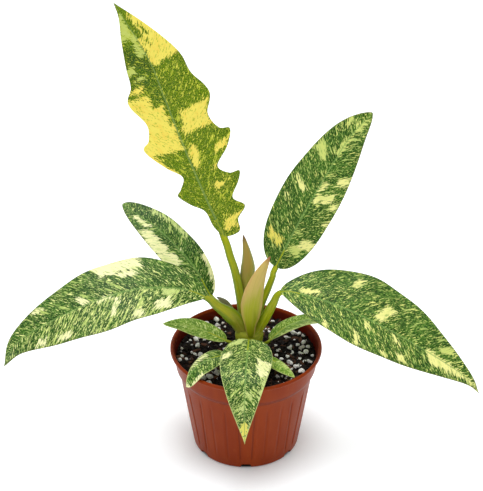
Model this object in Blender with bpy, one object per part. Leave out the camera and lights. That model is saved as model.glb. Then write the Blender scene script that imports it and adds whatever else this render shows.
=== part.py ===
"""A variegated philodendron in a round nursery pot.

Lengths are in metres and +Z is up. The origin is the middle of the pot's flat underside,
+X points to the right and +Y to the back. The plant is one short crown, ten leaves that
each grow with their own stalk, and four sheath scales between the stalks.
"""
import math
import random

import bmesh
import bpy
import numpy as np

MM = 0.001
GAP = 0.3 * MM
SHARP_ANGLE = math.radians(40.0)
CURVE_STEPS = 24

# Pot: a tapered wall with flutes, a smooth collar under a rolled lip, and drain notches. The
# lip's curve is listed in millimetres as (in from its radius, up from its foot), and the
# notch's shoulder as its shares of the notch's half width and height.
POT_HEIGHT = 90.0 * MM
LIP_RADIUS = 60.0 * MM
LIP_INNER_RADIUS = 57.4 * MM
LIP_DEPTH = 3.2 * MM
LIP_CURVE = ((0.4, 0.5), (0.0, 1.4), (0.3, 2.6), (1.0, 3.2))
LIP_INNER_EDGE = 0.7 * MM
COLLAR_TOP_RADIUS = 57.6 * MM
COLLAR_FOOT_RADIUS = 55.4 * MM
COLLAR_FOOT_HEIGHT = 72.0 * MM
COLLAR_STEP = 3.0 * MM
WALL_FOOT_RADIUS = 42.5 * MM
WALL_TAPER = 0.15
WALL_THICKNESS = 1.3 * MM
FLOOR_THICKNESS = 1.5 * MM
FLOOR_CORNER_REACH = 1.5 * MM
FLOOR_CORNER_HEIGHT = 4.0 * MM
FOOT_CHAMFER = 1.2 * MM
FLUTES = 49
FLUTE_DEPTH = 0.5 * MM
FLUTE_SPAN = (9.0 * MM, 66.0 * MM)
FLUTE_RUNOUT = 4.0 * MM
NOTCHES = 7
NOTCH_WIDTH = 8.4 * MM
NOTCH_HEIGHT = 3.0 * MM
NOTCH_REACH = (35.0 * MM, 47.0 * MM)
NOTCH_SHOULDER = (0.72, 0.55)
NOTCH_UNDERCUT = 1.0 * MM
POT_FINISH = ((0.40, 0.085, 0.035), 0.45)

# Potting mix: fills the pot up to 9 mm below the lip, with grains standing out of it. Its
# surface is a wide and a fine ripple, with turns in radians per metre along X and Y.
MIX_LEVEL = 80.8 * MM
MIX_RIPPLE = 0.7 * MM
RIPPLE_WIDE = (95.0, 80.0)
RIPPLE_WIDE_PHASE = (1.2, -0.5)
RIPPLE_FINE = (260.0, 170.0)
RIPPLE_FINE_SHARE = 0.3
MIX_EDGE = 1.0 * MM
MIX_SEGMENTS = 44
MIX_RINGS = (16.0, 27.0, 38.0, 48.0)
GRAINS = 66
GRAIN_SIZES = (1.7 * MM, 2.8 * MM)
GRAIN_FIELD_RADIUS = 50.5 * MM
GRAIN_SEED = 11
GRAIN_STRAY = 0.25
GRAIN_FLATNESS = (0.65, 0.95)
GRAIN_RISE = 0.15
GRAIN_LEAN = (0.4, 0.3)
GRAIN_TO_STEM = 4.5 * MM
MIX_FINISH = ((0.035, 0.022, 0.016), 0.9)

# Crown: the short stem that carries every stalk, standing in a plain hole in the mix. Its
# profile above the foot is (radius, height) in millimetres.
CROWN_X = 2.5 * MM
CROWN_Y = 3.5 * MM
CROWN_FOOT = 50.0 * MM
CROWN_STEM_RADIUS = 7.5 * MM
CROWN_PROFILE = ((7.5, 83.5), (9.4, 88.0), (10.8, 93.0), (11.3, 98.0), (10.6, 102.0),
                 (8.2, 105.0), (4.4, 106.6))
CROWN_WIDEST = 98.0 * MM
CROWN_TOP = 107.0 * MM
CROWN_SEGMENTS = 22
CROWN_FINISH = ((0.34, 0.28, 0.09), 0.6)

# Blades: thickness, the rib under the midrib, how far lateral veins sweep forward, and the
# shares of a half blade's width where its columns of points lie. The rib narrows as if it
# ended past the tip, and never takes more than a part of the nearest column's share.
BLADE_THICKNESS = 0.8 * MM
RIB_HALF_WIDTH = 1.5 * MM
RIB_END = 1.2
RIB_TAPER = 0.8
RIB_MOST_OF_COLUMN = 0.5
LEAST_HALF_WIDTH = 0.01 * MM
VEIN_SWEEP = 1.3
ROW_CROWDING = 1.35
LARGE_COLUMNS = (1.0, 0.7, 0.38)
SMALL_COLUMNS = (1.0, 0.55)
WAVE_PHASE = 1.3
LEAF_FINISH = ((0.06, 0.19, 0.05), 0.4)
SCALE_FINISH = ((0.55, 0.42, 0.20), 0.45)

# The lobed blade's two margins as (along the midrib, out from it), in millimetres. Each is a
# smooth curve through the crests of its lobes, the hollows between them, and their flanks.
LOBED_LEFT = ((12, 4), (26, 5), (36, 13), (46, 19), (50, 15), (58, 10), (70, 19), (88, 29), (94, 23),
              (106, 20), (125, 27), (136, 21), (153, 18), (172, 11), (188, 3))
LOBED_RIGHT = ((-1, 9), (1, 14), (9, 16), (16, 25), (26, 19), (36, 28), (44, 32), (46, 24), (55, 18),
               (66, 31), (77, 38), (82, 30), (96, 26), (111, 33), (131, 25), (144, 23), (160, 17),
               (180, 9))
LOBED_SWEEP = (1.12, 1.3)

# Each leaf in millimetres. stalk: its route from inside the crown; midrib: the route of the
# blade; faces: where the upper side looks at the crown, the blade's base and its tip;
# stalk_size: half width and half depth, evenly from the crown to the blade; left and right: the
# widest reach of each half blade and how bluntly it starts and ends; fold: the angle that the
# halves rise from the midrib; curl: how far the margins bend back, as a part of the half
# width; wave: the height of the margin's waves, and waves: their number.
LEAVES = {
    "leaf_tall_lobed": dict(
        stalk=((-1.4, 5.8, 98), (-2.3, 6.5, 107), (-3.6, 8, 122), (-7.9, 12, 147), (-12.3, 15, 162)),
        midrib=((-17, 18.5, 177), (-32, 24, 212), (-48, 31, 252), (-61, 37, 287), (-72, 41, 316),
                (-96, 45, 358)),
        faces=((0.3, -0.9, 0.2), (0.25, -0.93, 0.35), (0.2, -0.95, 0.3)),
        stalk_size=((4.0, 3.6), (2.8, 2.4)),
        left=LOBED_LEFT, right=LOBED_RIGHT, fold=8, curl=0.12, wave=1.6, waves=4),
    "leaf_upper_right": dict(
        stalk=((6.5, 7.0, 98), (7.8, 8, 106), (11.7, 11, 120), (16.7, 14, 132), (20.6, 17, 142)),
        midrib=((23.2, 20, 149.5), (43, 28, 190), (60, 34, 221), (78, 41, 251), (95, 46, 270)),
        faces=((-0.3, -0.8, 0.5), (-0.3, -0.75, 0.6), (-0.2, -0.75, 0.6)),
        stalk_size=((3.6, 3.2), (2.3, 2.1)),
        left=(26.0, 0.42, 0.7), right=(22.0, 0.45, 0.7), fold=6, curl=0.10, wave=0.8, waves=3),
    "leaf_back_left": dict(
        stalk=((-2, 7, 95), (-5.5, 11.5, 99.5), (-9.5, 15.5, 104), (-19.1, 22, 111.8)),
        midrib=((-27.9, 28, 117.3), (-40, 38, 136), (-56, 51, 150), (-73, 63, 161), (-100, 80, 172)),
        faces=((0.2, -0.5, 0.85), (0.3, -0.6, 0.75), (0.3, -0.6, 0.75)),
        stalk_size=((2.9, 2.6), (1.9, 1.8)),
        left=(18.0, 0.55, 0.75), right=(15.5, 0.45, 0.5), fold=6, curl=0.10, wave=0.6, waves=3),
    "leaf_left": dict(
        stalk=((0, -0.5, 97), (-2.8, -1, 104), (-7.2, -2, 113.3), (-13.6, -3, 121), (-22.5, -4, 129)),
        midrib=((-30.5, -4, 136.5), (-49, -8, 147), (-80, -16, 152.5), (-110, -24, 148),
                (-143, -32, 136), (-173, -39, 119), (-185, -41, 97.5)),
        faces=((-0.5, -0.6, 0.6), (-0.15, -0.45, 0.9), (-0.2, -0.5, 0.85)),
        stalk_size=((4.2, 2.8), (5.6, 3.0), (6.0, 3.2), (4.0, 2.8), (2.6, 2.2)),
        left=(27.5, 0.85, 1.05), right=(29.5, 0.7, 1.2), fold=5, curl=0.12, wave=1.0, waves=4),
    "leaf_right": dict(
        stalk=((7, 0, 97), (8.8, -0.3, 102.5), (11.5, -1.4, 109.5), (15.6, -3, 119.2), (20.7, -4, 130.7)),
        midrib=((26, -4, 141), (38, -7, 143), (71, -15, 136), (103, -24, 124), (136, -32, 107),
                (169, -39, 86), (180, -42, 72.5)),
        faces=((0.6, -0.6, 0.5), (0.1, -0.4, 0.9), (0.2, -0.5, 0.85)),
        stalk_size=((3.8, 3.0), (4.6, 3.1), (3.6, 2.8), (2.4, 2.1)),
        left=(36.5, 0.85, 1.4), right=(27.0, 0.8, 1.2), fold=8, curl=0.12, wave=1.0, waves=4),
    "leaf_front": dict(
        stalk=((2.6, -3, 84), (2.7, -7.5, 88.3), (2.6, -11, 98)),
        midrib=((2.2, -14.5, 104.5), (1.6, -22, 105.5), (0.6, -40, 105), (-0.6, -58, 101.5),
                (-1.2, -70, 92), (-1.4, -78, 74), (-1.2, -82, 55)),
        faces=((0, -0.9, 0.2), (0, -0.3, 0.95), (0, -0.95, 0.3)),
        stalk_size=((2.6, 2.2), (2.0, 1.8)),
        left=(19.3, 0.42, 1.3), right=(20.5, 0.5, 1.3), fold=4, curl=0.15, wave=0.5, waves=3),
    "leaf_small_left": dict(
        stalk=((1, 1, 92), (-4, 0, 92), (-9.5, -1.5, 92.5)),
        midrib=((-15.5, -2, 95), (-33, 3, 101), (-50, 7.5, 104), (-66, 10, 103)),
        faces=((0.1, -0.2, 0.95), (0.1, -0.2, 0.95), (-0.1, -0.2, 0.95)),
        stalk_size=((1.9, 1.7), (1.3, 1.2)),
        left=(8.8, 0.6, 0.75), right=(9.0, 0.45, 0.8), fold=10, curl=0.10, wave=0.3, waves=2),
    "leaf_small_right": dict(
        stalk=((5, 0, 87), (9.4, -1, 88.2), (14.1, -0.7, 90.7)),
        midrib=((18.8, 0, 94.4), (30, 7, 101), (43, 13, 104), (57, 17, 103.5), (70, 20, 100)),
        faces=((0, 0.1, 1), (0, 0.1, 1), (0, 0.1, 1)),
        stalk_size=((1.9, 1.7), (1.4, 1.3)),
        left=(8.0, 0.3, 0.45), right=(10.5, 0.75, 0.65), fold=10, curl=0.10, wave=0.3, waves=2),
    "leaf_small_front_left": dict(
        stalk=((0.5, -1, 89.5), (-4.8, -8, 90.2), (-10.2, -12, 90.6)),
        midrib=((-15.7, -16, 91.2), (-25, -24, 94.5), (-32.5, -32, 96), (-40, -40.5, 94.8),
                (-44.5, -46.5, 90), (-46, -49.5, 85)),
        faces=((0, -0.15, 0.95), (0, -0.15, 0.95), (-0.4, -0.5, 0.8)),
        stalk_size=((1.8, 1.6), (1.3, 1.2)),
        left=(11.2, 0.45, 0.4), right=(7.7, 0.25, 1.2), fold=8, curl=0.10, wave=0.3, waves=2),
    "leaf_small_front_right": dict(
        stalk=((4.5, 0, 85.5), (8.5, -7.5, 87.6), (12.5, -12, 88.6)),
        midrib=((17, -16, 88.8), (26, -28, 90.5), (32, -36, 90.5), (37, -42.5, 88.8)),
        faces=((0, -0.2, 0.95), (0, -0.2, 0.95), (0.1, -0.2, 0.9)),
        stalk_size=((1.6, 1.4), (1.1, 1.0)),
        left=(3.6, 0.25, 0.6), right=(7.5, 0.6, 0.75), fold=8, curl=0.10, wave=0.2, waves=2),
}
LOBED_LEAF_ROWS = 54
LARGE_LEAF_ROWS = 14
SMALL_LEAF_ROWS = 9
LARGE_LEAF_LENGTH = 90.0 * MM
STALK_ROWS = 7

# Sheath scales in millimetres: the route from inside the crown to the pointed end, the side
# that looks outwards, and (half width, half depth) at each point of the route.
SCALES = {
    "sheath_front": dict(
        route=((3.2, -1.5, 97), (3.5, -5.8, 104.5), (3.3, -7.6, 113), (3.6, -7.4, 122), (4.1, -6.8, 131),
               (6.2, -5.6, 143.5), (10.2, -3.5, 156), (15.2, -1.2, 166), (18.4, 0.5, 171)),
        sizes=((2.6, 2.6), (3.2, 3.0), (4.4, 3.4), (7.2, 4.0), (8.4, 4.4), (7.4, 4.2), (5.0, 3.2),
               (2.4, 1.8), (0.3, 0.3)),
        face=(0, -1, 0.1)),
    "sheath_rear": dict(
        route=((3.2, 10.5, 99), (2.2, 14.2, 107), (0.8, 15, 123), (0.3, 15.5, 137), (1.4, 16, 152),
               (0.6, 16.8, 164), (-1.4, 17.4, 175.5), (-2.4, 17.5, 180)),
        sizes=((2.8, 2.8), (3.6, 3.2), (5.0, 3.6), (5.8, 3.6), (5.6, 3.2), (3.4, 2.4), (1.5, 1.3),
               (0.3, 0.3)),
        face=(0, -1, 0.1)),
    "sheath_left": dict(
        route=((-5, 3.6, 98), (-9.8, 4.8, 107), (-12.5, 6.3, 118), (-16.3, 8, 124), (-20.4, 9, 127),
               (-23, 10, 128.2)),
        sizes=((2.0, 1.2), (2.6, 1.3), (3.2, 1.3), (2.6, 1.0), (1.5, 0.8), (0.3, 0.3)),
        face=(0.2, -0.8, 0.6)),
    "sheath_right": dict(
        route=((10.2, 4.4, 99), (14.9, 4.8, 109), (18.7, 4.4, 120), (21.5, 3.8, 129), (23.2, 3.4, 135.6)),
        sizes=((1.8, 1.2), (2.2, 1.3), (2.4, 1.2), (1.5, 0.9), (0.3, 0.3)),
        face=(-0.2, -0.8, 0.4)),
}
SCALE_SIDES = 10
SCALE_ROWS = 10


def clear_scene():
    """Remove what the scene holds before the part is made."""
    for thing in list(bpy.data.objects):
        bpy.data.objects.remove(thing, do_unlink=True)


def principled(name, finish):
    """Return a plain Principled material with a finish of (colour, roughness)."""
    colour, roughness = finish
    material = bpy.data.materials.new(name)
    material.use_nodes = True
    shader = material.node_tree.nodes["Principled BSDF"]
    shader.inputs["Base Color"].default_value = (*colour, 1.0)
    shader.inputs["Roughness"].default_value = roughness
    shader.inputs["Metallic"].default_value = 0.0
    return material


def link_mesh(name, bm, material, parent):
    """Turn a bmesh into an object with outward faces and smooth shading."""
    bmesh.ops.recalc_face_normals(bm, faces=bm.faces)
    mesh = bpy.data.meshes.new(name)
    bm.to_mesh(mesh)
    bm.free()
    if material:
        mesh.materials.append(material)
    mesh.shade_smooth()
    mesh.set_sharp_from_angle(angle=SHARP_ANGLE)
    thing = bpy.data.objects.new(name, mesh)
    bpy.context.scene.collection.objects.link(thing)
    thing.parent = parent
    return thing


def make_guide(thing):
    """Keep an object as a cutter that is not part of the model."""
    thing.hide_render = True
    thing.display_type = "WIRE"


def cut(thing, cutter):
    """Subtract the cutter from the object."""
    modifier = thing.modifiers.new("cut_" + cutter.name, "BOOLEAN")
    modifier.operation = "DIFFERENCE"
    modifier.object = cutter


def turned(profile, segments):
    """Spin a profile of (radius, height) about Z into a closed bmesh."""
    bm = bmesh.new()
    points = [bm.verts.new((radius, 0.0, height)) for radius, height in profile]
    edges = [bm.edges.new(pair) for pair in zip(points, points[1:])]
    bmesh.ops.spin(bm, geom=points + edges, cent=(0, 0, 0), axis=(0, 0, 1),
                   angle=2.0 * math.pi, steps=segments, use_duplicate=False)
    bmesh.ops.remove_doubles(bm, verts=bm.verts, dist=1e-6)
    return bm


def wall_radius(height):
    """Outer radius of the tapered wall."""
    return WALL_FOOT_RADIUS + WALL_TAPER * height


def pot_profile():
    """The pot's section, from the middle of the underside round to the middle of the floor."""
    low, high = FLUTE_SPAN
    step_height = COLLAR_FOOT_HEIGHT - COLLAR_STEP
    lip_foot = POT_HEIGHT - LIP_DEPTH
    outside = [(0.0, 0.0), (wall_radius(0.0) - FOOT_CHAMFER, 0.0),
               (wall_radius(FOOT_CHAMFER), FOOT_CHAMFER)]
    outside += [(wall_radius(h), h) for h in (low, low + FLUTE_RUNOUT, high - FLUTE_RUNOUT, high)]
    outside += [(wall_radius(step_height), step_height), (COLLAR_FOOT_RADIUS, COLLAR_FOOT_HEIGHT),
                (COLLAR_TOP_RADIUS, lip_foot)]
    outside += [(LIP_RADIUS - inward * MM, lip_foot + upward * MM) for inward, upward in LIP_CURVE]
    inside = [(LIP_INNER_RADIUS + LIP_INNER_EDGE, POT_HEIGHT),
              (LIP_INNER_RADIUS, POT_HEIGHT - LIP_INNER_EDGE)]
    inside += mix_side(0.0)
    return outside + inside + [(0.0, FLOOR_THICKNESS)]


def mix_side(clearance):
    """The inner side of the wall from the collar down to the floor, moved in by a clearance."""
    step_height = COLLAR_FOOT_HEIGHT - COLLAR_STEP
    inset = WALL_THICKNESS + clearance
    return [(COLLAR_TOP_RADIUS - inset, POT_HEIGHT - LIP_DEPTH),
            (COLLAR_FOOT_RADIUS - inset, COLLAR_FOOT_HEIGHT),
            (wall_radius(step_height) - inset, step_height + 0.5 * clearance),
            (wall_radius(FLOOR_CORNER_HEIGHT) - inset, FLOOR_CORNER_HEIGHT),
            (wall_radius(0.0) - inset - FLOOR_CORNER_REACH, FLOOR_THICKNESS + clearance)]


def make_pot(parent):
    """The pot with its flutes and the drain notches round its foot."""
    bm = turned(pot_profile(), 2 * FLUTES)
    low, high = FLUTE_SPAN
    for vert in bm.verts:
        radius = math.hypot(vert.co.x, vert.co.y)
        fluted = low + 0.5 * FLUTE_RUNOUT < vert.co.z < high - 0.5 * FLUTE_RUNOUT
        if not fluted or radius < wall_radius(vert.co.z) - 0.5 * WALL_THICKNESS:
            continue
        step = round(math.atan2(vert.co.y, vert.co.x) / (math.pi / FLUTES))
        if step % 2:
            vert.co.x *= 1.0 - FLUTE_DEPTH / radius
            vert.co.y *= 1.0 - FLUTE_DEPTH / radius
    pot = link_mesh("pot", bm, principled("terracotta_plastic", POT_FINISH), parent)
    for index in range(NOTCHES):
        angle = -0.5 * math.pi + index * 2.0 * math.pi / NOTCHES
        cut(pot, make_notch(index, angle, parent))
    return pot


def make_notch(index, angle, parent):
    """A low flat-topped arch that runs out through the foot of the wall."""
    half = 0.5 * NOTCH_WIDTH
    flat = NOTCH_SHOULDER[0] * half
    shoulder = NOTCH_SHOULDER[1] * NOTCH_HEIGHT
    arch = [(-half, -NOTCH_UNDERCUT), (half, -NOTCH_UNDERCUT), (half, shoulder),
            (flat, NOTCH_HEIGHT), (-flat, NOTCH_HEIGHT), (-half, shoulder)]
    bm = bmesh.new()
    near = bm.faces.new([bm.verts.new((NOTCH_REACH[0], across, height)) for across, height in arch])
    grown = bmesh.ops.extrude_face_region(bm, geom=[near])["geom"]
    far = [part for part in grown if isinstance(part, bmesh.types.BMVert)]
    bmesh.ops.translate(bm, verts=far, vec=(NOTCH_REACH[1] - NOTCH_REACH[0], 0, 0))
    notch = link_mesh(f"notch_cutter_{index}", bm, None, parent)
    notch.rotation_euler.z = angle
    make_guide(notch)
    return notch


def mix_height(x, y):
    """Height of the mix at a place, gently uneven."""
    wide = math.sin(RIPPLE_WIDE[0] * x + RIPPLE_WIDE_PHASE[0])
    wide *= math.cos(RIPPLE_WIDE[1] * y + RIPPLE_WIDE_PHASE[1])
    fine = math.sin(RIPPLE_FINE[0] * x + RIPPLE_FINE[1] * y)
    return MIX_LEVEL + MIX_RIPPLE * ((1.0 - RIPPLE_FINE_SHARE) * wide + RIPPLE_FINE_SHARE * fine)


def make_mix(parent, hole):
    """The potting mix with the hole for the crown, and its grains joined to it."""
    material = principled("potting_mix", MIX_FINISH)
    side = mix_side(GAP)
    slope = (side[0][0] - side[1][0]) / (side[0][1] - side[1][1])
    top_radius = side[1][0] + slope * (MIX_LEVEL - side[1][1])
    profile = [(0.0, MIX_LEVEL)] + [(radius * MM, MIX_LEVEL) for radius in MIX_RINGS]
    profile += [(top_radius, MIX_LEVEL)] + side[1:] + [(0.0, side[-1][1])]
    bm = turned(profile, MIX_SEGMENTS)
    for vert in bm.verts:
        inner = math.hypot(vert.co.x, vert.co.y) < top_radius - MIX_EDGE
        if inner and vert.co.z > MIX_LEVEL - MIX_EDGE:
            vert.co.z = mix_height(vert.co.x, vert.co.y)
    mix = link_mesh("potting_mix", bm, material, parent)
    grains = bpy.data.collections.new("grains")
    bpy.context.scene.collection.children.link(grains)
    draw = random.Random(GRAIN_SEED)
    for index in range(GRAINS):
        add_grain(index, draw, grains, material)
    union = mix.modifiers.new("grains", "BOOLEAN")
    union.operation = "UNION"
    union.operand_type = "COLLECTION"
    union.collection = grains
    apply_modifier(mix, union)
    for grain in list(grains.objects):
        bpy.data.objects.remove(grain, do_unlink=True)
    cut(mix, hole)
    return mix


def add_grain(index, draw, grains, material):
    """One angular grain, sunk in the mix at its place on a spiral."""
    turn = index * math.pi * (3.0 - math.sqrt(5.0)) + draw.uniform(-GRAIN_STRAY, GRAIN_STRAY)
    reach = GRAIN_FIELD_RADIUS * math.sqrt((index + 0.5) / GRAINS)
    x = reach * math.cos(turn)
    y = reach * math.sin(turn)
    size = draw.uniform(*GRAIN_SIZES)
    flat = draw.uniform(*GRAIN_FLATNESS)
    spin = draw.uniform(0.0, math.pi)
    if math.hypot(x - CROWN_X, y - CROWN_Y) < CROWN_STEM_RADIUS + GRAIN_TO_STEM:
        return
    bm = bmesh.new()
    bmesh.ops.create_icosphere(bm, subdivisions=1, radius=1.0)
    bmesh.ops.scale(bm, verts=bm.verts, vec=(size, size * flat, size * flat))
    grain = link_mesh(f"grain_{index}", bm, material, None)
    bpy.context.scene.collection.objects.unlink(grain)
    grains.objects.link(grain)
    grain.location = (x, y, mix_height(x, y) + GRAIN_RISE * size)
    grain.rotation_euler = (GRAIN_LEAN[0] * spin, GRAIN_LEAN[1], spin)


def apply_modifier(thing, modifier):
    """Replace an object's mesh by what its modifier makes of it."""
    depsgraph = bpy.context.evaluated_depsgraph_get()
    made = bpy.data.meshes.new_from_object(thing.evaluated_get(depsgraph))
    thing.modifiers.remove(modifier)
    thing.data = made


def make_crown(name, clearance, material, parent):
    """The crown, or the same form grown all round by a clearance."""
    foot = CROWN_FOOT - clearance
    profile = [(0.0, foot), (CROWN_STEM_RADIUS + clearance, foot)]
    for radius, height in CROWN_PROFILE:
        rise = clearance if height * MM > CROWN_WIDEST else -clearance
        profile.append((radius * MM + clearance, height * MM + rise))
    profile += [(0.0, CROWN_TOP + clearance)]
    crown = link_mesh(name, turned(profile, CROWN_SEGMENTS), material, parent)
    crown.location = (CROWN_X, CROWN_Y, 0.0)
    return crown


def make_hole(parent):
    """The plain round hole in the mix that the crown stands in."""
    bm = turned([(0.0, CROWN_FOOT - GAP), (CROWN_STEM_RADIUS + GAP, CROWN_FOOT - GAP),
                 (CROWN_STEM_RADIUS + GAP, POT_HEIGHT), (0.0, POT_HEIGHT)], CROWN_SEGMENTS)
    hole = link_mesh("crown_hole_cutter", bm, None, parent)
    hole.location = (CROWN_X, CROWN_Y, 0.0)
    make_guide(hole)
    return hole


def unit(vectors):
    """Scale each vector to length one."""
    return vectors / np.linalg.norm(vectors, axis=-1, keepdims=True)


def smooth_curve(points):
    """A Catmull-Rom curve through points."""
    points = np.array(points, dtype=float)
    ends = (2.0 * points[:1] - points[1:2], 2.0 * points[-1:] - points[-2:-1])
    held = np.vstack((ends[0], points, ends[1]))
    curve = []
    for a, b, c, d in zip(held, held[1:], held[2:], held[3:]):
        for t in np.arange(CURVE_STEPS) / CURVE_STEPS:
            curve.append(0.5 * (2 * b + (c - a) * t + (2 * a - 5 * b + 4 * c - d) * t ** 2
                                + (3 * b - a - 3 * c + d) * t ** 3))
    curve.append(points[-1])
    return np.array(curve)


def ramp(stations, values, places):
    """Interpolate rows of values at places along a line."""
    values = np.array(values, dtype=float)
    return np.stack([np.interp(places, stations, column) for column in values.T], axis=-1)


class Spine:
    """A smooth route with a direction, an upper side and a right side at each place."""

    def __init__(self, points, faces, face_points):
        self.curve = smooth_curve(points) * MM
        steps = np.linalg.norm(np.diff(self.curve, axis=0), axis=1)
        self.places = np.concatenate(([0.0], np.cumsum(steps)))
        self.length = self.places[-1]
        self.point_places = self.places[::CURVE_STEPS]
        self.along = unit(np.gradient(self.curve, axis=0))
        looks = ramp(self.point_places[list(face_points)], faces, self.places)
        looks -= self.along * np.sum(looks * self.along, axis=1, keepdims=True)
        self.up = unit(looks)
        self.right = np.cross(self.along, self.up)

    def at(self, place):
        """Position, direction, up and right at a place, straight on past the ends."""
        held = np.clip(place, 0.0, self.length)
        position = ramp(self.places, self.curve, held)
        along = unit(ramp(self.places, self.along, held))
        up = unit(ramp(self.places, self.up, held))
        right = unit(ramp(self.places, self.right, held))
        return position + along * (place - held), along, up, right


def formula_margin(width, blunt, sharp, length):
    """A plain margin: how far along and out it is for each foot on the midrib."""
    peak = blunt / (blunt + sharp)

    def margin(foot):
        along = 1.0 - (1.0 - foot) ** VEIN_SWEEP
        out = (along / peak) ** blunt * ((1.0 - along) / (1.0 - peak)) ** sharp
        return along * length, width * MM * out
    return margin


def listed_margin(points, sweep, length):
    """A lobed margin that runs smoothly through its listed points."""
    corners = np.vstack(([0.0, 0.0], points, [length / MM, 0.0]))
    reach = np.concatenate(([0.0], np.cumsum(np.linalg.norm(np.diff(corners, axis=0), axis=1))))
    feet = (reach / reach[-1]) ** sweep
    along, out, own_foot = smooth_curve(np.column_stack((corners, feet))).T

    def margin(foot):
        return np.interp(foot, own_foot, along) * MM, np.interp(foot, own_foot, out) * MM
    return margin


def blade_margins(leaf, length):
    """Both margins of a blade and the feet of its rows."""
    if len(leaf["left"]) == 3:
        left = formula_margin(*leaf["left"], length)
        right = formula_margin(*leaf["right"], length)
        rows = LARGE_LEAF_ROWS if length > LARGE_LEAF_LENGTH else SMALL_LEAF_ROWS
        feet = [(row / rows) ** ROW_CROWDING for row in range(1, rows)]
        feet.append(0.5 + 0.5 * feet[-1])
        return left, right, feet
    left = listed_margin(leaf["left"], LOBED_SWEEP[0], length)
    right = listed_margin(leaf["right"], LOBED_SWEEP[1], length)
    return left, right, [row / LOBED_LEAF_ROWS for row in range(1, LOBED_LEAF_ROWS)]


def blade_point(spine, start, along, across, leaf, phase):
    """A point of the blade's middle surface; across is negative on the left."""
    position, _, up, right = spine.at(start + along)
    half = max(leaf["left_reach"], leaf["right_reach"])
    part = abs(across) / half
    turn = 2.0 * math.pi * leaf["waves"] * along / (spine.length - start) + phase
    lift = math.tan(math.radians(leaf["fold"])) * abs(across) - leaf["curl"] * half * part ** 2
    lift += leaf["wave"] * MM * math.sin(turn) * part ** 2
    return position + right * across + up * lift, up


def blade_rings(spine, start, leaf):
    """Rings of points round the blade, each from the left margin over the top and back below."""
    length = spine.length - start
    left, right, feet = blade_margins(leaf, length)
    columns = LARGE_COLUMNS if length > LARGE_LEAF_LENGTH else SMALL_COLUMNS
    rib_depth = leaf["stalk_size"][-1][1] * MM
    rings = []
    for foot in feet:
        upper = []
        lower = []
        for side, margin, shares in ((-1, left, columns), (0, left, (0.0,)), (1, right, columns[::-1])):
            tip_along, tip_out = margin(foot)
            for share in rib_shares(side, shares, tip_out, foot):
                along = foot * length + share * (tip_along - foot * length)
                point, up = blade_point(spine, start, along, side * share * tip_out, leaf,
                                        WAVE_PHASE * side)
                depth = 0.5 * BLADE_THICKNESS
                if share == 0.0:
                    depth += rib_depth * (1.0 - foot) ** RIB_TAPER
                upper.append(point + up * 0.5 * BLADE_THICKNESS)
                lower.append(point - up * depth)
        rings.append(np.array(upper + lower[::-1]))
    return rings


def rib_shares(side, shares, tip_out, foot):
    """The shares of a half row, with one more at the edge of the rib."""
    if side == 0:
        return shares
    edge = RIB_HALF_WIDTH * (RIB_END - foot) / max(tip_out, LEAST_HALF_WIDTH)
    edge = min(edge, RIB_MOST_OF_COLUMN * min(shares))
    return (*shares, edge) if side < 0 else (edge, *shares)


def oval_ring(spine, place, wide, deep, sides):
    """A ring round the route, from the left over the upper side and back below."""
    position, _, up, right = spine.at(place)
    angles = [math.pi - 2.0 * math.pi * (side + 0.5) / sides for side in range(sides)]
    return np.array([position + right * wide * math.cos(a) + up * deep * math.sin(a) for a in angles])


def stalk_rings(spine, start, leaf, sides):
    """Rings of points round the stalk, in the same order as the blade's rings."""
    sizes = leaf["stalk_size"]
    rings = []
    for share in np.linspace(0.0, 1.0, STALK_ROWS):
        wide, deep = ramp(np.linspace(0.0, 1.0, len(sizes)), sizes, share) * MM
        rings.append(oval_ring(spine, start * share, wide, deep, sides))
    return rings


def skin(rings, apex):
    """Join rings into a closed bmesh with a flat first end and a pointed last end."""
    bm = bmesh.new()
    loops = [[bm.verts.new(point) for point in ring] for ring in rings]
    tip = bm.verts.new(apex)
    count = len(loops[0])
    bm.faces.new(loops[0])
    for near, far in zip(loops, loops[1:]):
        for index in range(count):
            add_cell(bm, near, far, index)
    for index in range(count):
        bm.faces.new((loops[-1][index], loops[-1][(index + 1) % count], tip))
    return bm


def add_cell(bm, near, far, index):
    """Two triangles between neighbouring rings, split alike on the upper and lower side."""
    count = len(near)
    after = (index + 1) % count

    def span(start, end):
        lower_start, lower_end = count - 1 - start, count - 1 - end
        return (near[start].co + near[lower_start].co - far[end].co - far[lower_end].co).length

    forward, backward = span(index, after), span(after, index)
    if forward < backward or (forward == backward and index < count // 2):
        bm.faces.new((near[index], near[after], far[after]))
        bm.faces.new((near[index], far[after], far[index]))
    else:
        bm.faces.new((near[index], near[after], far[index]))
        bm.faces.new((near[after], far[after], far[index]))


def make_leaf(name, leaf, material, parent):
    """One leaf: its stalk and its blade in one skin."""
    route = leaf["stalk"] + leaf["midrib"]
    base = len(leaf["stalk"])
    spine = Spine(route, leaf["faces"], (0, base, len(route) - 1))
    start = spine.point_places[base]
    for side in ("left", "right"):
        reach = leaf[side][0] if len(leaf[side]) == 3 else max(out for _, out in leaf[side])
        leaf[side + "_reach"] = reach * MM
    blade = blade_rings(spine, start, leaf)
    stalk = stalk_rings(spine, start, leaf, len(blade[0]))
    bm = skin(stalk + blade, spine.curve[-1])
    return link_mesh(name, bm, material, parent)


def make_scale(name, scale, material, parent):
    """A pointed sheath scale, oval all the way."""
    spine = Spine(scale["route"], (scale["face"], scale["face"]), (0, len(scale["route"]) - 1))
    rings = []
    for row in range(SCALE_ROWS):
        place = spine.length * row / SCALE_ROWS
        wide, deep = ramp(spine.point_places, scale["sizes"], place) * MM
        rings.append(oval_ring(spine, place, wide, deep, SCALE_SIDES))
    return link_mesh(name, skin(rings, spine.curve[-1]), material, parent)


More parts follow.
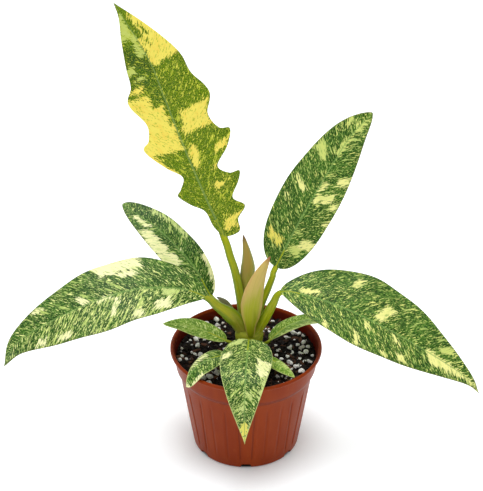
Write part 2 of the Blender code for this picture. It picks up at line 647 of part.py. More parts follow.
def main():
    clear_scene()
    plant = bpy.data.objects.new("potted_philodendron", None)
    bpy.context.scene.collection.objects.link(plant)
    make_pot(plant)
    make_mix(plant, make_hole(plant))
    make_crown("crown", 0.0, principled("crown", CROWN_FINISH), plant)
    seat = make_crown("crown_cutter", GAP, None, plant)
    make_guide(seat)
    for name, leaf in LEAVES.items():
        cut(make_leaf(name, leaf, principled(name, LEAF_FINISH), plant), seat)
    for name, scale in SCALES.items():
        cut(make_scale(name, scale, principled(name, SCALE_FINISH), plant), seat)


main()
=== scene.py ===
"""Looks of the potted philodendron: leaves, stalks, scales, pot, mix and perlite on the frame.

Lengths are in metres, or in millimetres where a name or a comment says so. +Z is up and the
camera looks along +Y. Routes, outlines and sizes are those of the part's source, but the drain
notches are 1.2 mm higher here, the blades are 0.2 mm thinner, and the pot's wall has slanting
and upright moulded lines in place of even flutes.
"""
import math
import random

import bmesh
import bpy
import numpy as np
from mathutils import Euler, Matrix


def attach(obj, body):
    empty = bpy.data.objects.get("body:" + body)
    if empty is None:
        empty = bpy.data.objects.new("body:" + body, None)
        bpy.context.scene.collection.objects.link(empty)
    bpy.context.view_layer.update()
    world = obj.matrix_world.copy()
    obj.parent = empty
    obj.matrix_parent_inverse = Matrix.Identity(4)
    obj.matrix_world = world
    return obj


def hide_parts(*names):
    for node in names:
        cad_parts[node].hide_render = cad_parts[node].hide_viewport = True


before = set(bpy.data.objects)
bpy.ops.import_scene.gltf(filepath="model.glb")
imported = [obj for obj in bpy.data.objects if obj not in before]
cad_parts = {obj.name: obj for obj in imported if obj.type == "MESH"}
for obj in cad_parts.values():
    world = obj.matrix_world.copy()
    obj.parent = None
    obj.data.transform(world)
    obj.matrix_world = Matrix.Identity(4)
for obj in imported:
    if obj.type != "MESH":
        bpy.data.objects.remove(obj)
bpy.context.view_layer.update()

MM = 0.001
BLACK = (0.0, 0.0, 0.0, 1.0)
WHITE = (1.0, 1.0, 1.0, 1.0)
CURVE_STEPS = 24

# Camera: where it stands, how far it looks down and its focal length, in millimetres, degrees
# and pixels of a picture of PICTURE_SIZE.
PICTURE_SIZE = (483, 491)
CAMERA_PLACE = (-3.6, -931.0, 737.0)
CAMERA_PITCH = 30.85
CAMERA_FOCUS = 1433.0
SENSOR_SIZE = 36.0

# Light: the world's glow, brighter behind the plant than on the camera's side, and soft lamps
# as (name, place, watts, size), aimed at the plant. The floor glows, as painted light that lifts
# its shadows to white, but not under the pot: the glow begins and is full at two distances from
# the pot's axis, in millimetres, and from a little inside the pot's foot the floor is painted
# dark, as painted shade under the pot.
WORLD_LEVEL = 0.72
WORLD_SLOPE = 0.25
WORLD_LEAST = 0.48
FLOOR_GLOW = 0.36
FLOOR_GLOW_REACH = (12.0, 84.0)
LAMPS = (("lamp_left", (-1.4, -0.1, 0.5), 15.0, 0.9), ("lamp_right", (1.4, 0.0, 0.5), 13.0, 0.9),
         ("lamp_top", (-0.2, 0.1, 1.9), 22.0, 1.2))
LAMP_AIM = (0.0, 0.0, 0.12)
FOOT_SHADE_WIDTH = 3.0
FLOOR_REACH = 4000.0
VIEW_DEPTH = (0.05, 20.0)

# Pot, in millimetres.
POT_HEIGHT = 90.0
LIP_RADIUS = 60.0
LIP_INNER_RADIUS = 57.4
LIP_DEPTH = 3.2
COLLAR_TOP_RADIUS = 57.6
COLLAR_FOOT_RADIUS = 55.4
COLLAR_FOOT_HEIGHT = 72.0
COLLAR_STEP = 3.0
WALL_FOOT_RADIUS = 42.5
WALL_TAPER = 0.15
WALL_THICKNESS = 1.3
FLOOR_THICKNESS = 1.5
FOOT_CHAMFER = 1.2
NOTCHES = 7
NOTCH_WIDTH = 8.4
NOTCH_HEIGHT = 4.2
NOTCH_REACH = (35.0, 47.0)
POT_SEGMENTS = 686
POT_STEP = 3.0
SHARP_ANGLE = 50.0
STEP_HEIGHT = COLLAR_FOOT_HEIGHT - COLLAR_STEP
LIP_FOOT = POT_HEIGHT - LIP_DEPTH
HEEL_HEIGHT = 4.0
HEEL_WIDTH = 1.5
# Each groove line as (degrees from the notch at the top, height there, degrees at the foot,
# height there, depth), repeated on both sides of each notch.
GROOVES = ((7.6, 62.0, 5.8, 8.0, 0.6), (18.8, 62.0, 18.8, 10.0, 0.35))
GROOVE_WIDTH = 0.75
GROOVED_HEIGHTS = (4.0, 68.5)

# Potting mix and crown, in millimetres.
MIX_LEVEL = 80.8
BED_SEED = 5
BED_RINGS = 86
BED_SEGMENTS = 300
BED_GRAIN = 0.22
BED_GAP = 0.3
CROWN_PLACE = (2.5, 3.5)
CROWN_STEM_RADIUS = 7.5
CROWN_FOOT = 50.0
CROWN_PROFILE = ((7.5, 83.5), (9.4, 88.0), (10.8, 93.0), (11.3, 98.0), (10.6, 102.0),
                 (8.2, 105.0), (4.4, 106.6))
CROWN_TOP = 107.0
CROWN_SCAR = (2.8, -6.4, 92.0)
CROWN_SCAR_REACH = 5.0
CROWN_SEGMENTS = 120
CROWN_STEP = 0.8
CROWN_RING_PITCH = 3.1
CROWN_RING_HEIGHT = 0.22
LUMP_SEED = 21
# Loose bits on the bed as (name, count, clear of the wall, sizes, flatness, unevenness, colours).
MIX_BITS = (("mix_crumbs", 2600, 1.0, (0.7, 2.0), (1.0, 0.8, 0.6), 0.3,
             ((32, 22, 16), (80, 60, 46), (10, 7, 6))),
            ("mix_bark", 210, 2.0, (2.2, 4.8), (1.0, 0.45, 0.28), 0.22,
             ((96, 58, 36), (142, 98, 66), (52, 30, 20))))
# Perlite: a few heaps as (x, y, spread, grains), loose grains between them, and both sizes.
PERLITE_HEAPS = ((45, 2, 7, 12), (36, -16, 7, 9), (-41, 0, 8, 10), (-24, 40, 7, 5),
                 (-24, -34, 6, 4), (28, 28, 7, 5))
HEAP_SIZES = (2.8, 5.0)
LOOSE_PERLITE = 120
LOOSE_SIZES = (1.3, 3.2)
PERLITE_TRIES = 60

# Blades, in millimetres.
VEIN_SWEEP = 1.3
WAVE_PHASE = 1.3
BLADE_THICKNESS = 0.6
VEIN_PITCH = 6.4
QUILT_HEIGHT = 0.16
RIM_WIDTH = 0.7
BILLOW_HEIGHT = 0.22
MIDRIB_GROOVE = (0.32, 0.95)
RIB_HALF_WIDTH = 1.5
VEIN_WIDTH = 0.42
STALK_ROWS = 60
STALK_SEGMENTS = 40
STALK_OVERLAP = 16.0
SCALE_ROWS = 110
SCALE_SEGMENTS = 56
HALF_COLUMNS = (0.0, 0.018, 0.04, 0.07, 0.11, 0.16, 0.22, 0.29, 0.37, 0.45, 0.53, 0.61, 0.69, 0.77,
                0.84, 0.9, 0.95, 1.0)
RIM_COLUMNS = (0.45, 0.75, 0.93, 1.0)
PATCH_SOFTNESS = 3.6
VEIN_LEAN = (0.8, 0.004)

# The lobed blade's two margins as (along the midrib, out from it): a smooth curve through the
# crests of its lobes, the hollows between them, and their flanks.
LOBED_LEFT = ((12, 4), (26, 5), (36, 13), (46, 19), (50, 15), (58, 10), (70, 19), (88, 29),
              (94, 23), (106, 20), (125, 27), (136, 21), (153, 18), (172, 11), (188, 3))
LOBED_RIGHT = ((-1, 9), (1, 14), (9, 16), (16, 25), (26, 19), (36, 28), (44, 32), (46, 24),
               (55, 18), (66, 31), (77, 38), (82, 30), (96, 26), (111, 33), (131, 25), (144, 23),
               (160, 17), (180, 9))
LOBED_SWEEP = (1.12, 1.3)

LEAVES = {
    "leaf_tall_lobed": dict(
        stalk=((-1.4, 5.8, 98), (-2.3, 6.5, 107), (-3.6, 8, 122), (-7.9, 12, 147),
               (-12.3, 15, 162)),
        midrib=((-17, 18.5, 177), (-32, 24, 212), (-48, 31, 252), (-61, 37, 287), (-72, 41, 316),
                (-96, 45, 358)),
        faces=((0.3, -0.9, 0.2), (0.25, -0.93, 0.35), (0.2, -0.95, 0.3)),
        stalk_size=((4.0, 3.6), (2.8, 2.4)),
        left=LOBED_LEFT, right=LOBED_RIGHT, fold=8, curl=0.12, wave=1.6, waves=4),
    "leaf_upper_right": dict(
        stalk=((6.5, 7.0, 98), (7.8, 8, 106), (11.7, 11, 120), (16.7, 14, 132), (20.6, 17, 142)),
        midrib=((23.2, 20, 149.5), (43, 28, 190), (60, 34, 221), (78, 41, 251), (95, 46, 270)),
        faces=((-0.3, -0.8, 0.5), (-0.3, -0.75, 0.6), (-0.2, -0.75, 0.6)),
        stalk_size=((3.6, 3.2), (2.3, 2.1)),
        left=(26.0, 0.42, 0.7), right=(22.0, 0.45, 0.7), fold=6, curl=0.10, wave=0.8, waves=3),
    "leaf_back_left": dict(
        stalk=((-2, 7, 95), (-5.5, 11.5, 99.5), (-9.5, 15.5, 104), (-19.1, 22, 111.8)),
        midrib=((-27.9, 28, 117.3), (-40, 38, 136), (-56, 51, 150), (-73, 63, 161),
                (-100, 80, 172)),
        faces=((0.2, -0.5, 0.85), (0.3, -0.6, 0.75), (0.3, -0.6, 0.75)),
        stalk_size=((2.9, 2.6), (1.9, 1.8)),
        left=(18.0, 0.55, 0.75), right=(15.5, 0.45, 0.5), fold=6, curl=0.10, wave=0.6, waves=3),
    "leaf_left": dict(
        stalk=((0, -0.5, 97), (-2.8, -1, 104), (-7.2, -2, 113.3), (-13.6, -3, 121),
               (-22.5, -4, 129)),
        midrib=((-30.5, -4, 136.5), (-49, -8, 147), (-80, -16, 152.5), (-110, -24, 148),
                (-143, -32, 136), (-173, -39, 119), (-185, -41, 97.5)),
        faces=((-0.5, -0.6, 0.6), (-0.15, -0.45, 0.9), (-0.2, -0.5, 0.85)),
        stalk_size=((4.2, 2.8), (5.6, 3.0), (6.0, 3.2), (4.0, 2.8), (2.6, 2.2)),
        left=(27.5, 0.85, 1.05), right=(29.5, 0.7, 1.2), fold=5, curl=0.12, wave=1.0, waves=4),
    "leaf_right": dict(
        stalk=((7, 0, 97), (8.8, -0.3, 102.5), (11.5, -1.4, 109.5), (15.6, -3, 119.2),
               (20.7, -4, 130.7)),
        midrib=((26, -4, 141), (38, -7, 143), (71, -15, 136), (103, -24, 124), (136, -32, 107),
                (169, -39, 86), (180, -42, 72.5)),
        faces=((0.6, -0.6, 0.5), (0.1, -0.4, 0.9), (0.2, -0.5, 0.85)),
        stalk_size=((3.8, 3.0), (4.6, 3.1), (3.6, 2.8), (2.4, 2.1)),
        left=(36.5, 0.85, 1.4), right=(27.0, 0.8, 1.2), fold=8, curl=0.12, wave=1.0, waves=4),
    "leaf_front": dict(
        stalk=((2.6, -3, 84), (2.7, -7.5, 88.3), (2.6, -11, 98)),
        midrib=((2.2, -14.5, 104.5), (1.6, -22, 105.5), (0.6, -40, 105), (-0.6, -58, 101.5),
                (-1.2, -70, 92), (-1.4, -78, 74), (-1.2, -82, 55)),
        faces=((0, -0.9, 0.2), (0, -0.3, 0.95), (0, -0.95, 0.3)),
        stalk_size=((2.6, 2.2), (2.0, 1.8)),
        left=(19.3, 0.42, 1.3), right=(20.5, 0.5, 1.3), fold=4, curl=0.15, wave=0.5, waves=3),
    "leaf_small_left": dict(
        stalk=((1, 1, 92), (-4, 0, 92), (-9.5, -1.5, 92.5)),
        midrib=((-15.5, -2, 95), (-33, 3, 101), (-50, 7.5, 104), (-66, 10, 103)),
        faces=((0.1, -0.2, 0.95), (0.1, -0.2, 0.95), (-0.1, -0.2, 0.95)),
        stalk_size=((1.9, 1.7), (1.3, 1.2)),
        left=(8.8, 0.6, 0.75), right=(9.0, 0.45, 0.8), fold=10, curl=0.10, wave=0.3, waves=2),
    "leaf_small_right": dict(
        stalk=((5, 0, 87), (9.4, -1, 88.2), (14.1, -0.7, 90.7)),
        midrib=((18.8, 0, 94.4), (30, 7, 101), (43, 13, 104), (57, 17, 103.5), (70, 20, 100)),
        faces=((0, 0.1, 1), (0, 0.1, 1), (0, 0.1, 1)),
        stalk_size=((1.9, 1.7), (1.4, 1.3)),
        left=(8.0, 0.3, 0.45), right=(10.5, 0.75, 0.65), fold=10, curl=0.10, wave=0.3, waves=2),
    "leaf_small_front_left": dict(
        stalk=((0.5, -1, 89.5), (-4.8, -8, 90.2), (-10.2, -12, 90.6)),
        midrib=((-15.7, -16, 91.2), (-25, -24, 94.5), (-32.5, -32, 96), (-40, -40.5, 94.8),
                (-44.5, -46.5, 90), (-46, -49.5, 85)),
        faces=((0, -0.15, 0.95), (0, -0.15, 0.95), (-0.4, -0.5, 0.8)),
        stalk_size=((1.8, 1.6), (1.3, 1.2)),
        left=(11.2, 0.45, 0.4), right=(7.7, 0.25, 1.2), fold=8, curl=0.10, wave=0.3, waves=2),
    "leaf_small_front_right": dict(
        stalk=((4.5, 0, 85.5), (8.5, -7.5, 87.6), (12.5, -12, 88.6)),
        midrib=((17, -16, 88.8), (26, -28, 90.5), (32, -36, 90.5), (37, -42.5, 88.8)),
        faces=((0, -0.2, 0.95), (0, -0.2, 0.95), (0.1, -0.2, 0.9)),
        stalk_size=((1.6, 1.4), (1.1, 1.0)),
        left=(3.6, 0.25, 0.6), right=(7.5, 0.6, 0.75), fold=8, curl=0.10, wave=0.2, waves=2),
}
LOBED_ROWS = 460
LARGE_ROWS = 210
SMALL_ROWS = 110

# Markings of each leaf: how thick the flecks lie on its left half, its right half and its tip,
# how far its green leans to yellow, and its patches. A patch is (kind, from, to, inner, outer):
# its reach along the midrib and out along the veins as shares, below 0 on the left half.
MARKINGS = {
    "leaf_tall_lobed": dict(
        flecks=(0.5, 0.65, 0.2), tone=1.0, short=1.9, veins=(0.9, 0.0), patches=(
        ("deep", 0.65, 0.82, -0.95, 0.0), ("deep", 0.56, 0.66, -0.30, 0.02),
        ("yellow", 0.72, 0.83, 0.05, 1.2), ("yellow", 0.80, 0.93, 0.40, 1.2),
        ("yellow", 0.55, 0.62, -1.2, -0.42),
        ("yellow", 0.47, 0.57, -1.2, -0.16), ("yellow", 0.385, 0.49, -1.2, -0.03),
        ("yellow", 0.27, 0.40, -1.2, -0.86), ("yellow", 0.46, 0.525, 0.20, 0.95),
        ("yellow", 0.435, 0.475, 0.14, 1.0),
        ("yellow", 0.30, 0.385, 0.04, 0.22), ("yellow", 0.318, 0.345, 0.62, 0.95),
        ("yellow", 0.175, 0.205, 0.34, 0.54), ("yellow", 0.03, 0.066, 0.25, 0.9),
        ("yellow", 0.25, 0.27, 0.74, 0.96), ("yellow", 0.635, 0.66, -0.92, -0.58),
        ("pale", 0.85, 0.95, -1.1, -0.12), ("pale", 0.775, 0.87, -0.36, 0.03),
        ("pale", 0.715, 0.75, -1.1, -0.68), ("pale", 0.685, 0.70, -0.75, -0.40),
        ("green", 0.85, 1.0, 0.03, 0.42), ("green", 0.79, 0.84, 0.36, 0.43),
        ("green", 0.83, 0.88, 0.60, 0.68))),
    "leaf_upper_right": dict(flecks=(0.5, 0.6, 0.9), tone=0.25, patches=(
        ("yellow", 0.105, 0.15, -0.78, -0.20), ("cream", 0.14, 0.19, 0.45, 0.95),
        ("pale", 0.10, 0.15, 0.20, 0.70),
        ("cream", 0.48, 0.53, 0.04, 0.24), ("cream", 0.51, 0.555, 0.56, 1.0),
        ("cream", 0.41, 0.46, 0.10, 0.72), ("pale", 0.70, 0.80, -0.14, 0.18),
        ("pale", 0.86, 0.94, 0.0, 0.5), ("pale", 0.82, 0.86, -0.95, -0.65),
        ("pale", 0.60, 0.655, -0.92, -0.32), ("cream", 0.41, 0.435, -0.82, -0.32),
        ("cream", 0.31, 0.325, -0.86, -0.7), ("cream", 0.38, 0.41, 0.72, 0.95),
        ("cream", 0.28, 0.31, 0.82, 0.98))),
    "leaf_back_left": dict(flecks=(0.5, 0.35, 0.5), tone=0.1, patches=(
        ("cream", 0.40, 0.66, -1.0, -0.42), ("cream", 0.29, 0.41, -1.0, -0.34),
        ("cream", 0.69, 0.83, -0.52, -0.17), ("pale", 0.40, 0.70, 0.72, 0.97),
        ("cream", -0.1, 0.24, 0.68, 1.2), ("cream", 0.40, 0.42, 0.02, 0.10),
        ("pale", 0.17, 0.19, 0.46, 0.60))),
    "leaf_left": dict(flecks=(1.0, 0.6, 0.7), tone=0.15, patches=(
        ("cream", 0.23, 0.39, 0.62, 1.2), ("cream", 0.27, 0.33, 0.44, 0.62),
        ("cream", 0.515, 0.54, 0.0, 0.38), ("cream", 0.63, 0.67, 0.72, 0.94),
        ("pale", 0.13, 0.20, -0.34, -0.06), ("cream", 0.15, 0.215, -0.84, -0.46),
        ("cream", 0.26, 0.30, -0.93, -0.70), ("cream", 0.38, 0.40, -0.66, -0.14),
        ("cream", 0.42, 0.48, -0.10, 0.02), ("cream", 0.56, 0.615, -0.88, -0.70),
        ("cream", 0.67, 0.71, -0.90, -0.66))),
    "leaf_right": dict(flecks=(0.55, 0.55, 0.9), tone=0.3, patches=(
        ("cream", 0.085, 0.16, -0.24, -0.08), ("cream", 0.25, 0.275, -0.82, -0.56),
        ("cream", 0.41, 0.455, -0.52, -0.10), ("cream", 0.68, 0.97, -0.15, 0.60),
        ("cream", 0.18, 0.20, 0.76, 0.94), ("cream", 0.32, 0.34, 0.58, 0.94),
        ("cream", 0.38, 0.40, 0.10, 0.34), ("cream", 0.42, 0.445, 0.82, 0.96),
        ("cream", 0.50, 0.54, 0.68, 0.92), ("cream", 0.51, 0.53, 0.14, 0.38),
        ("pale", 0.69, 0.73, -0.90, -0.44))),
    "leaf_front": dict(flecks=(0.8, 0.8, 1.1), tone=0.1, pale_rim=1.0, short=1.5, patches=(
        ("cream", 0.24, 0.37, -0.95, -0.45), ("pale", 0.38, 0.56, -1.2, -0.84),
        ("pale", 0.55, 0.59, -0.50, 0.05), ("pale", 0.0, 0.09, 0.25, 0.85),
        ("cream", 0.17, 0.22, 0.62, 0.92), ("pale", 0.64, 0.72, -0.15, 0.35),
        ("yellow", 0.79, 1.1, -1.2, 1.2))),
    "leaf_small_left": dict(flecks=(0.4, 0.4, 0.3), tone=0.6, pale_rim=1.0, patches=(
        ("pale", 0.60, 0.63, -0.5, -0.3), ("pale", 0.32, 0.35, -0.8, -0.6),
        ("pale", 0.18, 0.21, 0.5, 0.7), ("pale", 0.3, 0.34, 0.3, 0.5))),
    "leaf_small_right": dict(flecks=(0.25, 0.1, 0.2), tone=1.0, pale_rim=0.8, patches=(
        ("pale", 0.1, 0.8, 0.78, 1.2),)),
    "leaf_small_front_left": dict(flecks=(0.7, 0.6, 0.3), tone=0.3, pale_rim=1.0, patches=(
        ("cream", 0.26, 0.60, 0.50, 0.95), ("cream", 0.60, 0.9, -1.2, -0.86),
        ("cream", 0.93, 1.0, -1.2, 1.2))),
    "leaf_small_front_right": dict(flecks=(0.3, 0.2, 0.2), tone=0.9, pale_rim=0.8, patches=(
        ("pale", 0.3, 0.8, -0.7, -0.4),)),
}
PATCH_KINDS = ("yellow", "cream", "pale")

SCALES = {
    "sheath_front": dict(
        route=((3.2, -1.5, 97), (3.5, -5.8, 104.5), (3.3, -7.6, 113), (3.6, -7.4, 122),
               (4.1, -6.8, 131), (6.2, -5.6, 143.5), (10.2, -3.5, 156), (15.2, -1.2, 166),
               (18.4, 0.5, 171)),
        sizes=((2.6, 2.6), (3.2, 3.0), (4.4, 3.4), (7.2, 4.0), (8.4, 4.4), (7.4, 4.2), (5.0, 3.2),
               (2.4, 1.8), (0.3, 0.3)),
        face=(0, -1, 0.1)),
    "sheath_rear": dict(
        route=((3.2, 10.5, 99), (2.2, 14.2, 107), (0.8, 15, 123), (0.3, 15.5, 137), (1.4, 16, 152),
               (0.6, 16.8, 164), (-1.4, 17.4, 175.5), (-2.4, 17.5, 180)),
        sizes=((2.8, 2.8), (3.6, 3.2), (5.0, 3.6), (5.8, 3.6), (5.6, 3.2), (3.4, 2.4), (1.5, 1.3),
               (0.3, 0.3)),
        face=(0, -1, 0.1)),
    "sheath_left": dict(
        route=((-5, 3.6, 98), (-9.8, 4.8, 107), (-12.5, 6.3, 118), (-16.3, 8, 124),
               (-20.4, 9, 127), (-23, 10, 128.2)),
        sizes=((2.0, 1.2), (2.6, 1.3), (3.2, 1.3), (2.6, 1.0), (1.5, 0.8), (0.3, 0.3)),
        face=(0.2, -0.8, 0.6)),
    "sheath_right": dict(
        route=((10.2, 4.4, 99), (14.9, 4.8, 109), (18.7, 4.4, 120), (21.5, 3.8, 129),
               (23.2, 3.4, 135.6)),
        sizes=((1.8, 1.2), (2.2, 1.3), (2.4, 1.2), (1.5, 0.9), (0.3, 0.3)),
        face=(-0.2, -0.8, 0.4)),
}


def srgb(red, green, blue):
    """A display colour of 0 to 255 as the linear colour that a shader takes."""
    shares = [max(value, 1.0) / 255.0 for value in (red, green, blue)]
    return (*[((share + 0.055) / 1.055) ** 2.4 if share > 0.04045 else share / 12.92
              for share in shares], 1.0)


class Graph:
    """A node tree under construction, with a short way to add each kind of node."""

    def __init__(self, owner):
        owner.use_nodes = True
        self.owner = owner
        self.tree = owner.node_tree

    def feed(self, entry, value):
        """Link a socket to an input, or set the input's own value."""
        if isinstance(value, bpy.types.NodeSocket):
            self.tree.links.new(value, entry)
        else:
            entry.default_value = value

    def put(self, kind, inputs, **settings):
        """Add a node and return it."""
        node = self.tree.nodes.new("ShaderNode" + kind)
        for name, value in settings.items():
            setattr(node, name, value)
        for key, value in inputs.items():
            self.feed(node.inputs[key], value)
        return node

    def field(self, name):
        """A vector stored on the mesh."""
        return self.put("Attribute", {}, attribute_name=name).outputs["Vector"]

    def parts(self, vector):
        """The three parts of a vector."""
        return self.put("SeparateXYZ", {0: vector}).outputs[:]

    def math(self, operation, *values):
        """One step of arithmetic."""
        return self.put("Math", dict(enumerate(values)), operation=operation).outputs[0]

    def blend(self, factor, first, second, mode="MIX"):
        """The first colour, turning to the second as the factor rises to 1."""
        inputs = {0: factor, 6: first, 7: second}
        return self.put("Mix", inputs, data_type="RGBA", blend_type=mode).outputs[2]

    def step(self, value, low, high, top=1.0):
        """0 below low, top above high, and smooth between them."""
        inputs = {"Value": value, "From Min": low, "From Max": high, "To Max": top}
        return self.put("MapRange", inputs, interpolation_type="SMOOTHSTEP").outputs[0]

    def paint(self, colour, *layers):
        """A colour under layers of (shade, value, low, high, strength), the last on top."""
        for shade, *reach in layers:
            colour = self.blend(self.step(*reach), colour, shade)
        return colour

    def noise(self, vector, stretch, detail=2.0, roughness=0.5):
        """Smooth noise, with stretch its turns per unit of the vector."""
        place = self.put("VectorMath", {0: vector, 1: stretch}, operation="MULTIPLY").outputs[0]
        inputs = {"Vector": place, "Scale": 1.0, "Detail": detail, "Roughness": roughness}
        return self.put("TexNoise", inputs).outputs[0]

    def finish(self, colour, roughness, height, depth, constants):
        """Connect the shader and return the material; depth is the bump's height in metres."""
        shader = self.tree.nodes["Principled BSDF"]
        self.feed(shader.inputs["Base Color"], colour)
        self.feed(shader.inputs["Roughness"], roughness)
        bump = self.put("Bump", {"Height": height, "Distance": depth, "Strength": 1.0})
        self.feed(shader.inputs["Normal"], bump.outputs[0])
        for name, value in constants.items():
            shader.inputs[name].default_value = value
        return self.owner


def unit(vectors):
    """Scale each vector to length one."""
    return vectors / np.linalg.norm(vectors, axis=-1, keepdims=True)


def ease(value, low, high):
    """0 below low, 1 above high, and smooth between them."""
    share = np.clip((value - low) / (high - low), 0.0, 1.0)
    return share * share * (3.0 - 2.0 * share)


def smooth_curve(points):
    """A Catmull-Rom curve through points."""
    points = np.array(points, dtype=float)
    ends = (2.0 * points[:1] - points[1:2], 2.0 * points[-1:] - points[-2:-1])
    held = np.vstack((ends[0], points, ends[1]))
    curve = []
    for a, b, c, d in zip(held, held[1:], held[2:], held[3:]):
        for t in np.arange(CURVE_STEPS) / CURVE_STEPS:
            curve.append(0.5 * (2 * b + (c - a) * t + (2 * a - 5 * b + 4 * c - d) * t ** 2
                                + (3 * b - a - 3 * c + d) * t ** 3))
    curve.append(points[-1])
    return np.array(curve)


def ramp(stations, values, places):
    """Interpolate rows of values at places along a line."""
    values = np.array(values, dtype=float)
    return np.stack([np.interp(places, stations, column) for column in values.T], axis=-1)


class Spine:
    """A smooth route in millimetres with a direction, an upper side and a right side."""

    def __init__(self, points, faces, face_points):
        self.curve = smooth_curve(points)
        steps = np.linalg.norm(np.diff(self.curve, axis=0), axis=1)
        self.places = np.concatenate(([0.0], np.cumsum(steps)))
        self.length = self.places[-1]
        self.point_places = self.places[::CURVE_STEPS]
        self.along = unit(np.gradient(self.curve, axis=0))
        looks = ramp(self.point_places[list(face_points)], faces, self.places)
        looks -= self.along * np.sum(looks * self.along, axis=1, keepdims=True)
        self.up = unit(looks)
        self.right = np.cross(self.along, self.up)

    def at(self, place):
        """Position, up and right at places, straight on past the ends."""
        held = np.clip(place, 0.0, self.length)
        position = ramp(self.places, self.curve, held)
        along = unit(ramp(self.places, self.along, held))
        up = unit(ramp(self.places, self.up, held))
        right = unit(ramp(self.places, self.right, held))
        return position + along * (place - held)[..., None], up, right


def stacked(*parts):
    """Numbers and arrays that fit together, as one array of vectors."""
    return np.stack(np.broadcast_arrays(*parts), axis=-1)


def store_fields(mesh, fields):
    """Store vector fields on the points of a mesh."""
    for key, values in fields.items():
        layer = mesh.attributes.new(key, "FLOAT_VECTOR", "POINT")
        layer.data.foreach_set("vector", np.asarray(values).astype(np.float32).ravel())


def build_mesh(name, points, faces, material, fields=None):
    """An object from points in millimetres, with vector fields stored on its points."""
    mesh = bpy.data.meshes.new(name)
    mesh.from_pydata([], [], [])
    mesh.vertices.add(len(points))
    mesh.vertices.foreach_set("co", (np.asarray(points) * MM).astype(np.float32).ravel())
    sizes = np.array([len(face) for face in faces])
    mesh.loops.add(int(sizes.sum()))
    mesh.polygons.add(len(faces))
    mesh.loops.foreach_set("vertex_index", np.concatenate(faces).astype(np.int32))
    starts = np.concatenate(([0], np.cumsum(sizes)[:-1])).astype(np.int32)
    mesh.polygons.foreach_set("loop_start", starts)
    mesh.update(calc_edges=True)
    mesh.validate()
    store_fields(mesh, fields or {})
    mesh.materials.append(material)
    mesh.shade_smooth()
    thing = bpy.data.objects.new(name, mesh)
    bpy.context.scene.collection.objects.link(thing)
    return thing


def dress(thing, slot, *nodes):
    """Attach an object to the part's root and hide the CAD nodes that it stands for."""
    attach(thing, "root")
    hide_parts(*nodes)
    return thing


def tube_faces(rows, count):
    """Quads round a tube of rings, and a fan on each end to one more point."""
    first, last = rows * count, rows * count + 1
    ring = np.arange(count)
    after = (ring + 1) % count
    faces = []
    for row in range(rows - 1):
        low, high = row * count, (row + 1) * count
        faces.extend(np.stack((low + ring, low + after, high + after, high + ring), axis=1))
    top = (rows - 1) * count
    faces.extend(np.stack((after, ring, np.full(count, first)), axis=1))
    faces.extend(np.stack((top + ring, top + after, np.full(count, last)), axis=1))
    return faces


def tube(name, rings, ends, material, fields):
    """A closed tube through rings of points, with an end point on each end."""
    rows, count = rings.shape[:2]
    points = np.vstack((rings.reshape(-1, 3), ends))
    held = {}
    for key, values in fields.items():
        flat = values.reshape(-1, 3)
        held[key] = np.vstack((flat, values[0].mean(axis=0), values[-1].mean(axis=0)))
    return build_mesh(name, points, tube_faces(rows, count), material, held)


def formula_margin(width, blunt, sharp, length, feet):
    """How far along and out a plain margin is for each foot on the midrib."""
    peak = blunt / (blunt + sharp)
    along = 1.0 - (1.0 - feet) ** VEIN_SWEEP
    out = (along / peak) ** blunt * ((1.0 - along) / (1.0 - peak)) ** sharp
    return along * length, width * out


def listed_margin(points, sweep, length, feet):
    """The same for a lobed margin that runs smoothly through its listed points."""
    corners = np.vstack(([0.0, 0.0], np.array(points, dtype=float), [length, 0.0]))
    reach = np.concatenate(([0.0], np.cumsum(np.linalg.norm(np.diff(corners, axis=0), axis=1))))
    own_feet = (reach / reach[-1]) ** sweep
    curve = smooth_curve(np.column_stack((corners, own_feet)))
    return np.interp(feet, curve[:, 2], curve[:, 0]), np.interp(feet, curve[:, 2], curve[:, 1])


def margins(leaf, length, feet):
    """Both margins of a leaf at each foot."""
    found = []
    for side, sweep in (("left", LOBED_SWEEP[0]), ("right", LOBED_SWEEP[1])):
        if len(leaf[side]) == 3:
            found.append(formula_margin(*leaf[side], length, feet))
        else:
            found.append(listed_margin(leaf[side], sweep, length, feet))
    return found


def patch_fields(patches, feet, shares, length, half):
    """For each kind of patch, 1 well inside one, 0.5 at its edge and 0 well outside."""
    fields = {kind: np.zeros(feet.shape) for kind in (*PATCH_KINDS, "green", "deep")}
    for kind, start, end, inner, outer in patches:
        beyond_foot = np.maximum(start - feet, feet - end) * length
        beyond_share = np.maximum(inner - shares, shares - outer) * np.maximum(half, 1.0)
        apart = np.hypot(np.maximum(beyond_foot, 0.0), np.maximum(beyond_share, 0.0))
        apart += np.minimum(np.maximum(beyond_foot, beyond_share), 0.0)
        field = np.clip(0.5 - 0.5 * apart / PATCH_SOFTNESS, 0.0, 1.0)
        fields[kind] = np.maximum(fields[kind], field)
    for kind in PATCH_KINDS:
        fields[kind] = np.minimum(fields[kind], 1.0 - fields["green"])
    return fields


